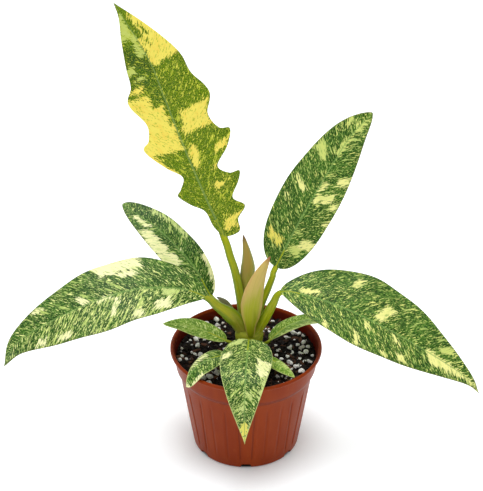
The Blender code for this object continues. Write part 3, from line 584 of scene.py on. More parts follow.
def blade_arrays(leaf, spine, start, rows):
    """Places of the blade's grid: foot, signed share, along, across and half width."""
    length = spine.length - start
    feet = (np.arange(1, rows) / rows) ** (1.0 if rows == LOBED_ROWS else 1.6)
    left, right = margins(leaf, length, feet)
    inner = np.array(HALF_COLUMNS)
    rim = np.array(RIM_COLUMNS)
    columns = []
    for side, (tip_along, tip_out) in ((-1, left), (1, right)):
        edge = np.minimum(RIM_WIDTH, 0.4 * tip_out)[:, None]
        out = np.hstack(((tip_out[:, None] - edge) * inner, tip_out[:, None] - edge + edge * rim))
        share = out / np.maximum(tip_out, 1e-6)[:, None]
        along = feet[:, None] * length + share * (tip_along - feet * length)[:, None]
        half = np.repeat(tip_out[:, None], share.shape[1], axis=1)
        columns.append((side * share, along, side * out, half))
    (share_l, along_l, across_l, half_l), (share_r, along_r, across_r, half_r) = columns
    joined = [np.hstack((low[:, :0:-1], high)) for low, high in
              ((share_l, share_r), (along_l, along_r), (across_l, across_r), (half_l, half_r))]
    foot = np.repeat(feet[:, None], joined[0].shape[1], axis=1)
    return (foot, *joined)


def make_blade(name, leaf, spine, start, seed, material):
    """The blade: a thin closed sheet with a grooved midrib, veins and a rib below."""
    length = spine.length - start
    marking = MARKINGS[name]
    rows = LOBED_ROWS if len(leaf["left"]) > 3 else LARGE_ROWS if length > 90.0 else SMALL_ROWS
    foot, share, along, across, half = blade_arrays(leaf, spine, start, rows)
    position, up, right = spine.at(start + along)
    reach = max(leaf[side][0] if len(leaf[side]) == 3 else max(out for _, out in leaf[side])
                for side in ("left", "right"))
    part = np.abs(across) / reach
    side = np.sign(across)
    turn = 2.0 * math.pi * leaf["waves"] * along / length + WAVE_PHASE * side
    fold = math.tan(math.radians(leaf["fold"]))
    lift = fold * (np.sqrt(across ** 2 + 1.0) - 1.0) - leaf["curl"] * reach * part ** 2
    lift += leaf["wave"] * np.sin(turn) * part ** 2
    lean, bend = marking.get("veins", VEIN_LEAN)
    vein_foot = along - lean * np.abs(across) - bend * across ** 2
    vein_place = vein_foot / VEIN_PITCH + 0.37 * (side > 0) + 0.11 * seed
    body = ease(np.abs(across), 0.8, 5.0) * (1.0 - ease(np.abs(share), 0.75, 0.97))
    quilt = np.abs(np.sin(math.pi * vein_place)) ** 0.7
    lift += QUILT_HEIGHT * body * (quilt - 0.5)
    billow = np.sin(0.31 * along + 1.7 * seed) * np.sin(0.42 * across + seed)
    lift += BILLOW_HEIGHT * body * billow
    groove_deep, groove_wide = MIDRIB_GROOVE
    groove = groove_deep * (1.0 - foot) ** 0.4 * np.exp(-(across / groove_wide) ** 2)
    rim_gap = half - np.abs(across)
    bulge = np.sqrt(np.clip(1.0 - (1.0 - np.clip(rim_gap / RIM_WIDTH, 0.0, 1.0)) ** 2, 0.0, 1.0))
    thick = 0.5 * BLADE_THICKNESS * bulge
    rib_wide = RIB_HALF_WIDTH * (1.12 - foot)
    rib = leaf["stalk_size"][-1][1] * (1.0 - foot) ** 0.8
    rib = rib * np.sqrt(np.clip(1.0 - (across / rib_wide) ** 2, 0.0, 1.0))
    upper = position + right * across[..., None] + up * (lift + thick - groove)[..., None]
    lower = position + right * across[..., None] + up * (lift - thick - rib)[..., None]
    rings = np.concatenate((upper, lower[:, -2:0:-1]), axis=1)
    ends = np.array([spine.at(np.array([start]))[0][0], spine.curve[-1]])

    vein = np.exp(-((vein_place - np.round(vein_place)) * VEIN_PITCH / VEIN_WIDTH) ** 2)
    vein *= ease(np.abs(across), 0.5, 2.0) * (1.0 - ease(np.abs(share), 0.6, 0.95))
    left_flecks, right_flecks, tip_flecks = marking["flecks"]
    density = np.where(share < 0.0, left_flecks, right_flecks)
    density = density + (tip_flecks - density) * ease(foot, 0.6, 0.95)
    rib_reach = RIB_HALF_WIDTH * (1.0 - foot) ** 0.7 + 0.35
    rib_line = np.clip(1.0 - np.abs(across) / rib_reach, 0.0, 1.0)
    rim_line = np.clip(1.0 - rim_gap / 0.9, 0.0, 1.0)
    vein_length = across * math.hypot(1.0, lean) * marking.get("short", 1.0)
    patches = patch_fields(marking["patches"], foot, share, length, half)
    tone = (marking["tone"] + 0.5 * ease(foot, 0.85, 1.0)) * (1.0 - patches["deep"])
    pale_rim = np.full(foot.shape, marking.get("pale_rim", 0.0))
    top = {
        "veins": stacked(vein_foot, vein_length, 7.3 * seed),
        "patches": stacked(*(patches[kind] for kind in PATCH_KINDS)),
        "marks": stacked(density, vein, tone),
        "habit": stacked(pale_rim, 0.0, 0.0),
        "edge": stacked(rim_line, rib_line, 0.0),
    }
    under = dict(top, edge=stacked(rim_line, rib_line, 1.0))
    fields = {key: np.concatenate((top[key], under[key][:, -2:0:-1]), axis=1) for key in top}
    return tube(name + "_blade", rings, ends, material, fields)


def round_section(segments):
    """Cosine and sine of the angles round a section, as rows."""
    angles = math.pi - 2.0 * math.pi * (np.arange(segments) + 0.5) / segments
    return np.cos(angles)[None, :], np.sin(angles)[None, :]


def sweep(name, spine, places, out, height, tip, material, seed_shift, share, cosine):
    """A closed tube of sections set out to the right of a spine and up from it."""
    position, up, right = spine.at(places)
    rings = position[:, None] + right[:, None] * out[..., None] + up[:, None] * height[..., None]
    ends = np.array([position[0], position[-1] if tip is None else tip])
    fields = {"run": stacked(places[:, None], out, seed_shift),
              "skin": stacked(share[:, None], cosine, 0.0)}
    return tube(name, rings, ends, material, fields)


def make_stalk(name, leaf, spine, start, seed, material):
    """The stalk: a channelled tube that runs on under the blade as the start of its rib."""
    length = spine.length - start
    overlap = min(STALK_OVERLAP, 0.3 * length)
    places = np.concatenate((np.linspace(0.0, start, STALK_ROWS),
                             start + np.linspace(0, overlap, 14)[1:]))
    sizes = np.array(leaf["stalk_size"], dtype=float)
    stations = np.linspace(0.0, start, len(sizes))
    wide, deep = ramp(stations, sizes, places).T
    beyond = np.clip((places - start) / overlap, 0.0, 1.0)
    wide = wide * (1.0 - 0.55 * beyond)
    sunk = ease(places, start - 7.0, start + 2.0)
    cosine, sine = round_section(STALK_SEGMENTS)
    channel = 1.0 - 0.4 * np.exp(-(cosine / 0.42) ** 2)
    above = (deep * (1.0 - sunk) + 0.1)[:, None] * channel
    below = (deep * (1.0 - 0.2 * beyond))[:, None]
    height = sine * np.where(sine > 0.0, above, below)
    return sweep(name + "_stalk", spine, places, wide[:, None] * cosine, height, None, material,
                 5.1 * seed, places / start, cosine)


def make_scale(name, scale, seed, material):
    """A pointed sheath scale with thin margins and soft keels."""
    spine = Spine(scale["route"], (scale["face"], scale["face"]), (0, len(scale["route"]) - 1))
    places = spine.length * (1.0 - (1.0 - np.arange(SCALE_ROWS) / SCALE_ROWS) ** 1.15)
    wide, deep = ramp(spine.point_places, scale["sizes"], places).T
    cosine, sine = round_section(SCALE_SEGMENTS)
    keel = 0.07 * np.exp(-((cosine - 0.35) / 0.12) ** 2)
    keel = (keel + 0.05 * np.exp(-((cosine + 0.3) / 0.14) ** 2)) * (sine > 0.0)
    height = deep[:, None] * (sine * np.abs(sine) ** 0.15 * (1.0 - keel))
    return sweep(name + "_scale", spine, places, wide[:, None] * cosine, height,
                 spine.curve[-1], material, 3.7 * seed, places / spine.length, cosine)


def leaf_material(name, colours):
    """A variegated leaf: greens, flecks along the veins, jagged patches, midrib and rim."""
    graph = Graph(bpy.data.materials.new(name))
    veins = graph.field("veins")
    yellow, cream, pale = graph.parts(graph.field("patches"))
    rim, rib, under = graph.parts(graph.field("edge"))
    density, vein, tone = graph.parts(graph.field("marks"))
    pale_rim = graph.parts(graph.field("habit"))[0]
    broad = graph.noise(veins, (0.085, 0.045, 1.0), 2.0)
    medium = graph.noise(veins, (0.40, 0.085, 0.9), 3.0, 0.55)
    fine = graph.noise(veins, (0.80, 0.20, 1.6), 3.0, 0.6)
    specks = graph.noise(veins, (1.35, 0.55, 2.2), 2.0, 0.5)
    grain = graph.noise(veins, (4.0, 2.5, 0.4), 2.0)
    jag = graph.noise(veins, (0.70, 0.15, 0.9), 4.0, 0.62)

    green = graph.paint(colours["dark"], (colours["mid"], broad, 0.42, 0.62))
    green = graph.blend(graph.math("MULTIPLY", tone, 0.7), green, colours["warm"])
    green = graph.paint(green, (colours["shadow"], specks, 0.50, 0.38, 0.85),
                        (colours["light"], specks, 0.51, 0.61, 0.75))
    green = graph.blend(graph.math("MULTIPLY", vein, 0.22), green, colours["rib"])
    for key, noise, share, *reach in (("streak", medium, 0.09, 0.645, 0.71, 0.85),
                                      ("fleck", fine, 0.09, 0.65, 0.71),
                                      ("fleck", specks, 0.07, 0.67, 0.73, 0.9)):
        lifted = graph.math("MULTIPLY_ADD", density, share, noise)
        green = graph.paint(green, (colours[key], lifted, *reach))
    rim_colour = graph.blend(pale_rim, colours["rim"], colours["pale"])
    green = graph.paint(green, (rim_colour, rim, 0.25, 0.9, 0.8))

    reach = graph.math("MULTIPLY_ADD", jag, 1.9, -0.95)
    stain = graph.noise(veins, (0.22, 0.09, 0.6), 3.0, 0.6)
    colour = green
    for patch, key, other in ((pale, "pale", "streak"), (cream, "cream", "pale"),
                              (yellow, "yellow", "amber")):
        shade = graph.paint(colours[key], (colours[other], stain, 0.45, 0.72, 0.65),
                            (colours["light"], fine, 0.57, 0.64, 0.7))
        colour = graph.paint(colour, (shade, graph.math("ADD", patch, reach), 0.47, 0.55))
    colour = graph.paint(colour, (colours["rib"], rib, 0.2, 0.85, 0.65),
                         (rim_colour, rim, 0.5, 1.0, 0.3))
    colour = graph.blend(graph.math("MULTIPLY", under, 0.45), colour, colours["under"])
    colour = graph.paint(colour, (BLACK, grain, 0.2, 0.8, 0.12))

    roughness = graph.math("MULTIPLY_ADD", grain, 0.2, 0.30)
    roughness = graph.math("MULTIPLY_ADD", under, 0.2, roughness)
    veinlets = graph.noise(veins, (1.2, 0.05, 0.2), 2.0)
    height = graph.math("MULTIPLY_ADD", grain, 0.35, veinlets)
    return graph.finish(colour, roughness, height, 0.12 * MM, {"Specular IOR Level": 0.16})


def stalk_material(name, face, edge, base):
    """A glossy stalk with fine lines along it, a greener edge and a pale foot."""
    graph = Graph(bpy.data.materials.new(name))
    run = graph.field("run")
    place, turn = graph.parts(graph.field("skin"))[:2]
    lines = graph.noise(run, (0.03, 1.4, 1.0), 3.0, 0.6)
    clouds = graph.noise(run, (0.06, 0.25, 1.0), 2.0)
    grain = graph.noise(run, (1.5, 4.0, 1.0), 2.0)
    colour = graph.paint(face, (edge, graph.math("ABSOLUTE", turn), 0.35, 1.0),
                         (edge, clouds, 0.35, 0.65, 0.5), (base, lines, 0.5, 0.7, 0.35),
                         (base, place, 0.45, 0.0, 0.6), (BLACK, grain, 0.2, 0.8, 0.12))
    roughness = graph.math("MULTIPLY_ADD", lines, 0.2, 0.26)
    height = graph.math("MULTIPLY_ADD", grain, 0.2, lines)
    return graph.finish(colour, roughness, height, 0.15 * MM, {"Specular IOR Level": 0.3})


def scale_material(name, low, middle, high, tip, edge):
    """A papery sheath scale that turns from green at its foot to pink or brown above."""
    graph = Graph(bpy.data.materials.new(name))
    run = graph.field("run")
    place, turn = graph.parts(graph.field("skin"))[:2]
    lines = graph.noise(run, (0.02, 1.1, 1.0), 3.0, 0.55)
    clouds = graph.noise(run, (0.05, 0.2, 1.0), 3.0)
    drift = graph.math("MULTIPLY_ADD", clouds, 0.35, place)
    drift = graph.math("MULTIPLY_ADD", turn, -0.12, drift)
    colour = graph.paint(low, (middle, drift, 0.32, 0.62), (high, drift, 0.60, 0.95),
                         (edge, graph.math("ABSOLUTE", turn), 0.55, 0.95, 0.6),
                         (tip, place, 0.90, 0.99), (high, lines, 0.52, 0.68, 0.30),
                         (low, lines, 0.46, 0.30, 0.30))
    roughness = graph.math("MULTIPLY_ADD", lines, 0.2, 0.32)
    return graph.finish(colour, roughness, lines, 0.25 * MM, {"Specular IOR Level": 0.22})


def make_leaves():
    """Every leaf, as a blade and a stalk."""
    greens = dict(
        dark=srgb(34, 76, 22), mid=srgb(62, 108, 34), warm=srgb(100, 138, 18),
        light=srgb(122, 162, 70), shadow=srgb(18, 52, 12), streak=srgb(190, 212, 112),
        fleck=srgb(234, 242, 150), cream=srgb(252, 250, 188), pale=srgb(208, 222, 138),
        yellow=srgb(240, 230, 104), amber=srgb(246, 224, 116), rib=srgb(128, 166, 84),
        rim=srgb(112, 118, 52), under=srgb(150, 175, 110))
    young = dict(
        greens, dark=srgb(102, 146, 38), mid=srgb(140, 178, 60), light=srgb(184, 208, 100),
        shadow=srgb(78, 122, 26), rib=srgb(176, 200, 98))
    tall = dict(
        greens, dark=srgb(38, 76, 28), mid=srgb(62, 104, 24), warm=srgb(108, 142, 1),
        light=srgb(156, 176, 22), shadow=srgb(32, 66, 4), streak=srgb(194, 204, 60),
        fleck=srgb(242, 236, 88), cream=srgb(248, 240, 150), pale=srgb(204, 216, 108),
        yellow=srgb(255, 238, 104), amber=srgb(252, 218, 84), rib=srgb(132, 160, 84),
        rim=srgb(120, 124, 14))
    lively = dict(greens, cream=srgb(246, 244, 152), pale=srgb(212, 222, 120),
                  fleck=srgb(236, 240, 132))
    plain = leaf_material("leaf_variegated", greens)
    lobed = leaf_material("leaf_tall_variegated", tall)
    fresh = leaf_material("leaf_young_variegated", young)
    yellowed = leaf_material("leaf_yellow_variegated", lively)
    glossy = stalk_material("stalk_green", srgb(172, 178, 4), srgb(124, 146, 4),
                            srgb(178, 178, 60))
    sheathing = stalk_material("stalk_sheathing", srgb(164, 166, 32), srgb(100, 130, 8),
                               srgb(188, 170, 78))
    looks = {"leaf_tall_lobed": lobed, "leaf_small_left": fresh, "leaf_small_right": fresh,
             "leaf_small_front_right": fresh, "leaf_upper_right": yellowed, "leaf_right": yellowed}
    for seed, (name, leaf) in enumerate(LEAVES.items(), start=1):
        route = leaf["stalk"] + leaf["midrib"]
        base = len(leaf["stalk"])
        spine = Spine(route, leaf["faces"], (0, base, len(route) - 1))
        start = spine.point_places[base]
        blade = make_blade(name, leaf, spine, start, seed, looks.get(name, plain))
        dress(blade, "tall_leaf" if name == "leaf_tall_lobed" else "leaf", name)
        skin = sheathing if name == "leaf_left" else glossy
        dress(make_stalk(name, leaf, spine, start, seed, skin), "stem", name)


def make_scales():
    """The four sheath scales."""
    front = scale_material("sheath_skin", srgb(132, 140, 4), srgb(166, 168, 34),
                           srgb(200, 176, 98), srgb(160, 104, 66), srgb(200, 160, 100))
    rear = scale_material("sheath_rear_skin", srgb(150, 162, 78), srgb(166, 162, 66),
                          srgb(170, 146, 64), srgb(112, 70, 56), srgb(146, 162, 108))
    side = scale_material("sheath_side_skin", srgb(150, 154, 50), srgb(140, 144, 68),
                          srgb(106, 104, 74), srgb(74, 72, 60), srgb(120, 126, 78))
    kinds = {"sheath_front": front, "sheath_rear": rear, "sheath_left": side, "sheath_right": side}
    for seed, (name, scale) in enumerate(SCALES.items(), start=1):
        dress(make_scale(name, scale, seed, kinds[name]), "sheath", name)


def wall_radius(height):
    """Outer radius of the tapered wall, in millimetres."""
    return WALL_FOOT_RADIUS + WALL_TAPER * height


def rounded(corners, steps=5):
    """A profile with each corner (radius, height, rounding) replaced by a short curve."""
    profile = [corners[0][:2]]
    for before, corner, after in zip(corners, corners[1:], corners[2:]):
        here = np.array(corner[:2], dtype=float)
        ends = []
        for other in (before, after):
            way = np.array(other[:2], dtype=float) - here
            ends.append(here + way * min(corner[2] / np.linalg.norm(way), 0.48))
        for t in np.linspace(0.0, 1.0, steps):
            profile.append((1 - t) ** 2 * ends[0] + 2 * t * (1 - t) * here + t ** 2 * ends[1])
    profile.append(corners[-1][:2])
    return np.array([np.array(point, dtype=float) for point in profile])


def refined(profile, longest):
    """A profile with its rising stretches split so that no step climbs more than a height."""
    points = [profile[0]]
    for near, far in zip(profile, profile[1:]):
        parts = max(1, math.ceil(abs(far[1] - near[1]) / longest))
        points += [near + (far - near) * (part + 1) / parts for part in range(parts)]
    return np.array(points)


def from_notch(angle):
    """Degrees between an angle and the middle of the nearest notch."""
    pitch = 360.0 / NOTCHES
    return np.abs((angle + 90.0 + 0.5 * pitch) % pitch - 0.5 * pitch)


def groove_depth(angle, height):
    """How deep the pot's moulded lines are at an angle in degrees and a height."""
    depth = np.zeros(np.broadcast(angle, height).shape)
    for top_angle, top, foot_angle, foot, deep in GROOVES:
        share = np.clip((height - foot) / (top - foot), 0.0, 1.0)
        line = foot_angle + (top_angle - foot_angle) * share
        away = np.radians(from_notch(angle) - line) * wall_radius(height)
        ends = ease(height, foot - 2.0, foot + 3.0) * (1.0 - ease(height, top - 3.0, top + 1.0))
        depth = depth + deep * ends * np.exp(-(away / GROOVE_WIDTH) ** 2)
        depth = depth - 0.35 * deep * ends * np.exp(-((away - 2.1) / 1.0) ** 2)
    low, high = GROOVED_HEIGHTS
    return np.where((height > low) & (height < high), depth, 0.0)


def make_pot():
    """The pot: a turned wall with moulded lines, rolled lip and drain notches."""
    corners = [(0.0, 0.0, 0.0), (wall_radius(0.0) - FOOT_CHAMFER, 0.0, 0.5),
               (wall_radius(FOOT_CHAMFER), FOOT_CHAMFER, 0.6),
               (wall_radius(STEP_HEIGHT), STEP_HEIGHT, 1.5),
               (COLLAR_FOOT_RADIUS, COLLAR_FOOT_HEIGHT, 2.6), (COLLAR_TOP_RADIUS, LIP_FOOT, 0.8),
               (LIP_RADIUS - 0.4, LIP_FOOT + 0.4, 0.6), (LIP_RADIUS, LIP_FOOT + 1.4, 0.7),
               (LIP_RADIUS - 0.35, LIP_FOOT + 2.6, 0.7), (LIP_RADIUS - 1.1, POT_HEIGHT, 0.6),
               (LIP_INNER_RADIUS + 0.6, POT_HEIGHT, 0.5),
               (LIP_INNER_RADIUS, POT_HEIGHT - 0.8, 0.5),
               (COLLAR_TOP_RADIUS - WALL_THICKNESS, LIP_FOOT, 1.0),
               (COLLAR_FOOT_RADIUS - WALL_THICKNESS, COLLAR_FOOT_HEIGHT, 1.2),
               (wall_radius(STEP_HEIGHT) - WALL_THICKNESS, STEP_HEIGHT, 1.0),
               (wall_radius(HEEL_HEIGHT) - WALL_THICKNESS, HEEL_HEIGHT, 1.5),
               (wall_radius(0.0) - WALL_THICKNESS - HEEL_WIDTH, FLOOR_THICKNESS, 1.0),
               (0.0, FLOOR_THICKNESS, 0.0)]
    profile = refined(rounded(corners), POT_STEP)[1:-1]
    angles = np.radians(-90.0 + 360.0 * np.arange(POT_SEGMENTS) / POT_SEGMENTS)
    radius = np.repeat(profile[:, :1], POT_SEGMENTS, axis=1)
    height = np.repeat(profile[:, 1:], POT_SEGMENTS, axis=1)
    outer = radius > wall_radius(height) - 0.5 * WALL_THICKNESS
    radius = radius - np.where(outer, groove_depth(np.degrees(angles), height), 0.0)
    rings = stacked(radius * np.cos(angles), radius * np.sin(angles), height)
    ends = np.array([[0.0, 0.0, 0.0], [0.0, 0.0, FLOOR_THICKNESS]])
    pot = tube("pot_shell", rings, ends, plastic_material(), {})
    cutters = []
    for index in range(NOTCHES):
        cutters.append(notch_cutter(index))
        cut_piece(pot, cutters[-1])
    bake_modifiers(pot)
    for cutter in cutters:
        bpy.data.objects.remove(cutter, do_unlink=True)
    store_pot_fields(pot.data)
    dress(pot, "terracotta_plastic", "pot")


def store_pot_fields(mesh):
    """Store each point's place and, as masks for painted shade, its depth in a moulded line and
    how far inside the pot or in a drain notch it is.
    """
    points = np.zeros(3 * len(mesh.vertices))
    mesh.vertices.foreach_get("co", points)
    x, y, height = points.reshape(-1, 3).T / MM
    radius = np.hypot(x, y)
    angle = np.degrees(np.arctan2(y, x))
    outline = np.interp(height, (0.0, STEP_HEIGHT, COLLAR_FOOT_HEIGHT, LIP_FOOT),
                        (wall_radius(0.0), wall_radius(STEP_HEIGHT), COLLAR_FOOT_RADIUS,
                         COLLAR_TOP_RADIUS))
    within = (radius < outline - 0.5 * WALL_THICKNESS) & (height > 0.5 * FLOOR_THICKNESS)
    inside = within * ease(POT_HEIGHT - height, 0.8, 2.6)
    across = radius * np.sin(np.radians(from_notch(angle)))
    # Points in a drain notch's opening get full painted shade.
    opened = (across < 0.5 * NOTCH_WIDTH + 0.1) & (height < NOTCH_HEIGHT + 0.1)
    opened &= (radius > NOTCH_REACH[0] - 0.1) & (radius < outline - 0.6 * WALL_THICKNESS)
    # The depth of the outer moulded lines, a mask for the painted shade in them.
    cut = np.where(within, 0.0, groove_depth(angle, height))
    store_fields(mesh, {"wear": stacked(x, y, height),
                        "groove_and_inner_shade": stacked(cut, np.where(opened, 1.0, inside), 0.0)})


def notch_cutter(index):
    """A low arch with round shoulders, to be cut through the foot of the wall."""
    half = 0.5 * NOTCH_WIDTH
    turns = np.linspace(0.0, math.pi, 17)
    arch = [(half, -1.0)]
    for turn in turns:
        across = half * np.sign(math.cos(turn)) * abs(math.cos(turn)) ** 0.45
        arch.append((across, NOTCH_HEIGHT * abs(math.sin(turn)) ** 0.5))
    arch.append((-half, -1.0))
    near = np.array([(NOTCH_REACH[0], across, height) for across, height in arch])
    far = near + np.array((NOTCH_REACH[1] - NOTCH_REACH[0], 0.0, 0.0))
    count = len(arch)
    ring = np.arange(count)
    after = (ring + 1) % count
    faces = [ring[::-1], ring + count,
             *np.stack((ring, after, count + after, count + ring), axis=1)]
    angle = -0.5 * math.pi + index * 2.0 * math.pi / NOTCHES
    cosine, sine = math.cos(angle), math.sin(angle)
    turn = np.array(((cosine, -sine, 0.0), (sine, cosine, 0.0), (0.0, 0.0, 1.0)))
    points = np.vstack((near, far)) @ turn.T
    return build_mesh(f"notch_cutter_{index}", points, faces,
                      bpy.data.materials["terracotta_plastic_look"])


def cut_piece(thing, cutter):
    """Subtract the cutter from the object."""
    modifier = thing.modifiers.new(cutter.name, "BOOLEAN")
    modifier.operation = "DIFFERENCE"
    modifier.solver = "EXACT"
    modifier.object = cutter


def bake_modifiers(thing):
    """Replace an object's mesh by what its modifiers make of it."""
    depsgraph = bpy.context.evaluated_depsgraph_get()
    made = bpy.data.meshes.new_from_object(thing.evaluated_get(depsgraph))
    thing.modifiers.clear()
    thing.data = made
    made.set_sharp_from_angle(angle=math.radians(SHARP_ANGLE))


def plastic_material():
    """Satin terracotta-coloured plastic with faint scuffs and flow marks, and painted shade in its
    moulded lines, over the collar's step, inside the pot and in the drain notches.
    """
    graph = Graph(bpy.data.materials.new("terracotta_plastic_look"))
    wear = graph.field("wear")
    flow = graph.noise(wear, (0.05, 0.05, 0.012), 3.0, 0.6)
    scuffs = graph.noise(wear, (0.35, 0.35, 0.06), 5.0, 0.7)
    grain = graph.noise(wear, (5.0, 5.0, 5.0), 2.0)
    height = graph.parts(wear)[2]
    cut, inside = graph.parts(graph.field("groove_and_inner_shade"))[:2]
    shaded = srgb(96, 28, 6)
    # The last layer is painted shade in the moulded lines.
    colour = graph.paint(srgb(132, 46, 4), (srgb(142, 54, 8), flow, 0.35, 0.65),
                         (srgb(168, 82, 40), scuffs, 0.56, 0.74, 0.22),
                         (srgb(98, 32, 8), grain, 0.3, 0.7, 0.10), (shaded, cut, 0.08, 0.5, 0.45))
    # Painted shade: a darker band over the collar's step, under its overhang.
    above = graph.step(height, COLLAR_FOOT_HEIGHT - 4.5, COLLAR_FOOT_HEIGHT - 2.5)
    below = graph.step(height, COLLAR_FOOT_HEIGHT + 2.5, COLLAR_FOOT_HEIGHT)
    step_shade = graph.math("MULTIPLY", above, below)
    colour = graph.blend(graph.math("MULTIPLY", step_shade, 0.6), colour, shaded)
    # Painted shade: dark inside the pot and in the drain notches.
    colour = graph.blend(graph.math("MULTIPLY", inside, 0.95), colour, srgb(94, 22, 6))
    roughness = graph.math("MULTIPLY_ADD", scuffs, 0.28, 0.24)
    height = graph.math("MULTIPLY_ADD", scuffs, 0.6, grain)
    return graph.finish(colour, roughness, height, 0.03 * MM, {"Specular IOR Level": 0.1})


def mix_level(x, y):
    """Height of the mix at a place, in millimetres."""
    wide = np.sin(0.095 * x + 1.2) * np.cos(0.080 * y - 0.5)
    fine = np.sin(0.26 * x + 0.17 * y)
    return MIX_LEVEL + 0.7 * (0.7 * wide + 0.3 * fine)


def make_mix():
    """The bed of mix, its crumbs, bark and perlite."""
    inset = WALL_THICKNESS + BED_GAP
    slope = (COLLAR_TOP_RADIUS - COLLAR_FOOT_RADIUS) / (LIP_FOOT - COLLAR_FOOT_HEIGHT)
    top = COLLAR_FOOT_RADIUS - inset + slope * (MIX_LEVEL - COLLAR_FOOT_HEIGHT)
    foot_level = FLOOR_THICKNESS + BED_GAP
    radii = np.concatenate((
        np.linspace(0.6, top - 0.2, BED_RINGS),
        [top, COLLAR_FOOT_RADIUS - inset, wall_radius(STEP_HEIGHT) - inset,
         wall_radius(HEEL_HEIGHT) - inset, wall_radius(0.0) - HEEL_WIDTH - inset]))
    angles = 2.0 * math.pi * np.arange(BED_SEGMENTS) / BED_SEGMENTS
    x = radii[:, None] * np.cos(angles)
    y = radii[:, None] * np.sin(angles)
    z = mix_level(x, y) - 0.5
    z += 0.35 * np.sin(0.9 * x + 0.4 * y) * np.sin(1.1 * y - 0.3 * x)
    z += np.random.default_rng(BED_SEED).normal(0.0, BED_GRAIN, z.shape)
    below = (MIX_LEVEL - 0.4, COLLAR_FOOT_HEIGHT, STEP_HEIGHT, HEEL_HEIGHT, foot_level)
    z[BED_RINGS:] = np.array(below)[:, None]
    rings = stacked(x, y, z)[:, ::-1]
    ends = np.array([[0.0, 0.0, MIX_LEVEL - 0.3], [0.0, 0.0, foot_level]])
    soil = crumb_material("mix_bed", srgb(22, 15, 11), srgb(48, 34, 26), srgb(10, 7, 6))
    dress(tube("mix_bed", rings, ends, soil, {"wear": rings}), "potting_mix", "potting_mix")

    draw = random.Random(LUMP_SEED)
    for name, count, margin, sizes, flat, jitter, colours in MIX_BITS:
        places = [random_place(draw, top - margin) for _ in range(count)]
        pieces = [lump(draw, place, draw.uniform(*sizes), flat, 1, jitter) for place in places]
        look = crumb_material(name, *(srgb(*colour) for colour in colours))
        dress(join_lumps(name, pieces, look), "potting_mix", "potting_mix")

    pieces = [lump(draw, place, 0.5 * size, (1.0, 0.85, 0.75), 3, 0.16, 0.25 * size)
              for place, size in perlite_places(draw, top - 2.0)]
    dress(join_lumps("perlite_grains", pieces, perlite_material()), "perlite", "potting_mix")


def perlite_places(draw, reach):
    """Places and sizes of the perlite: heaps of large grains, then loose small ones."""
    found = []
    for heap in [heap for heap in PERLITE_HEAPS for _ in range(heap[3])] + [None] * LOOSE_PERLITE:
        for _ in range(PERLITE_TRIES):
            size = draw.uniform(*(HEAP_SIZES if heap else LOOSE_SIZES))
            place = random_place(draw, reach)
            if heap:
                place = (draw.gauss(heap[0], heap[2]), draw.gauss(heap[1], heap[2]))
            clear = all(math.dist(place, other) > 0.5 * (size + width) for other, width in found)
            if clear and math.hypot(*place) < reach:
                found.append((place, size))
                break
    return found


def random_place(draw, reach):
    """A place on the mix, clear of the crown."""
    while True:
        radius = reach * math.sqrt(draw.random())
        angle = draw.uniform(0.0, 2.0 * math.pi)
        place = (radius * math.cos(angle), radius * math.sin(angle))
        if math.dist(place, CROWN_PLACE) > CROWN_STEM_RADIUS + 1.0:
            return place


def ball(subdivisions):
    """Points and faces of a round ball of triangles."""
    bm = bmesh.new()
    bmesh.ops.create_icosphere(bm, subdivisions=subdivisions, radius=1.0)
    points = np.array([vert.co for vert in bm.verts])
    faces = np.array([[vert.index for vert in face.verts] for face in bm.faces])
    bm.free()
    return points, faces


BALLS = {subdivisions: ball(subdivisions) for subdivisions in (1, 2, 3)}


def lump(draw, place, size, flat, subdivisions, jitter, rise=0.0):
    """An uneven lump lying on the mix: its points and the ball that it was made from."""
    points = BALLS[subdivisions][0]
    bumps = np.ones(len(points))
    for _ in range(4):
        way = np.array([draw.uniform(-1, 1) for _ in range(3)])
        bumps += jitter * np.sin(3.2 * points @ unit(way) + draw.uniform(0, 6.28))
    scaled = points * bumps[:, None] * np.array(flat) * size
    turn = draw.uniform(0.0, 2.0 * math.pi)
    lean, roll = draw.uniform(-0.5, 0.5), draw.uniform(-0.5, 0.5)
    turned = scaled @ np.array(Euler((lean, roll, turn)).to_matrix()).T
    level = float(mix_level(place[0], place[1])) + draw.uniform(-0.2, 0.5) + rise
    return turned + np.array((place[0], place[1], level)), subdivisions


def join_lumps(name, pieces, material):
    """One object from many lumps."""
    points = []
    faces = []
    tints = []
    count = 0
    for index, (lump_points, subdivisions) in enumerate(pieces):
        points.append(lump_points)
        faces.extend(BALLS[subdivisions][1] + count)
        tints.append(np.tile((index * 0.37, 0.0, 0.0), (len(lump_points), 1)))
        count += len(lump_points)
    points = np.vstack(points)
    thing = build_mesh(name, points, faces, material, {"wear": points, "tint": np.vstack(tints)})
    if len(BALLS[pieces[0][1]][0]) < 50:
        thing.data.shade_flat()
    return thing


def crumb_material(name, dull, bright, black):
    """Fibrous dark organic matter."""
    graph = Graph(bpy.data.materials.new(name))
    wear = graph.field("wear")
    tint = graph.noise(graph.field("tint"), (1.0, 1.0, 1.0), 0.0)
    grain = graph.noise(wear, (1.6, 1.6, 1.6), 4.0, 0.7)
    fibre = graph.noise(wear, (0.5, 3.0, 2.0), 2.0)
    colour = graph.paint(black, (dull, tint, 0.35, 0.65), (bright, grain, 0.52, 0.72, 0.7))
    roughness = graph.math("MULTIPLY_ADD", grain, 0.3, 0.55)
    height = graph.math("ADD", grain, fibre)
    return graph.finish(colour, roughness, height, 0.4 * MM, {"Specular IOR Level": 0.2})


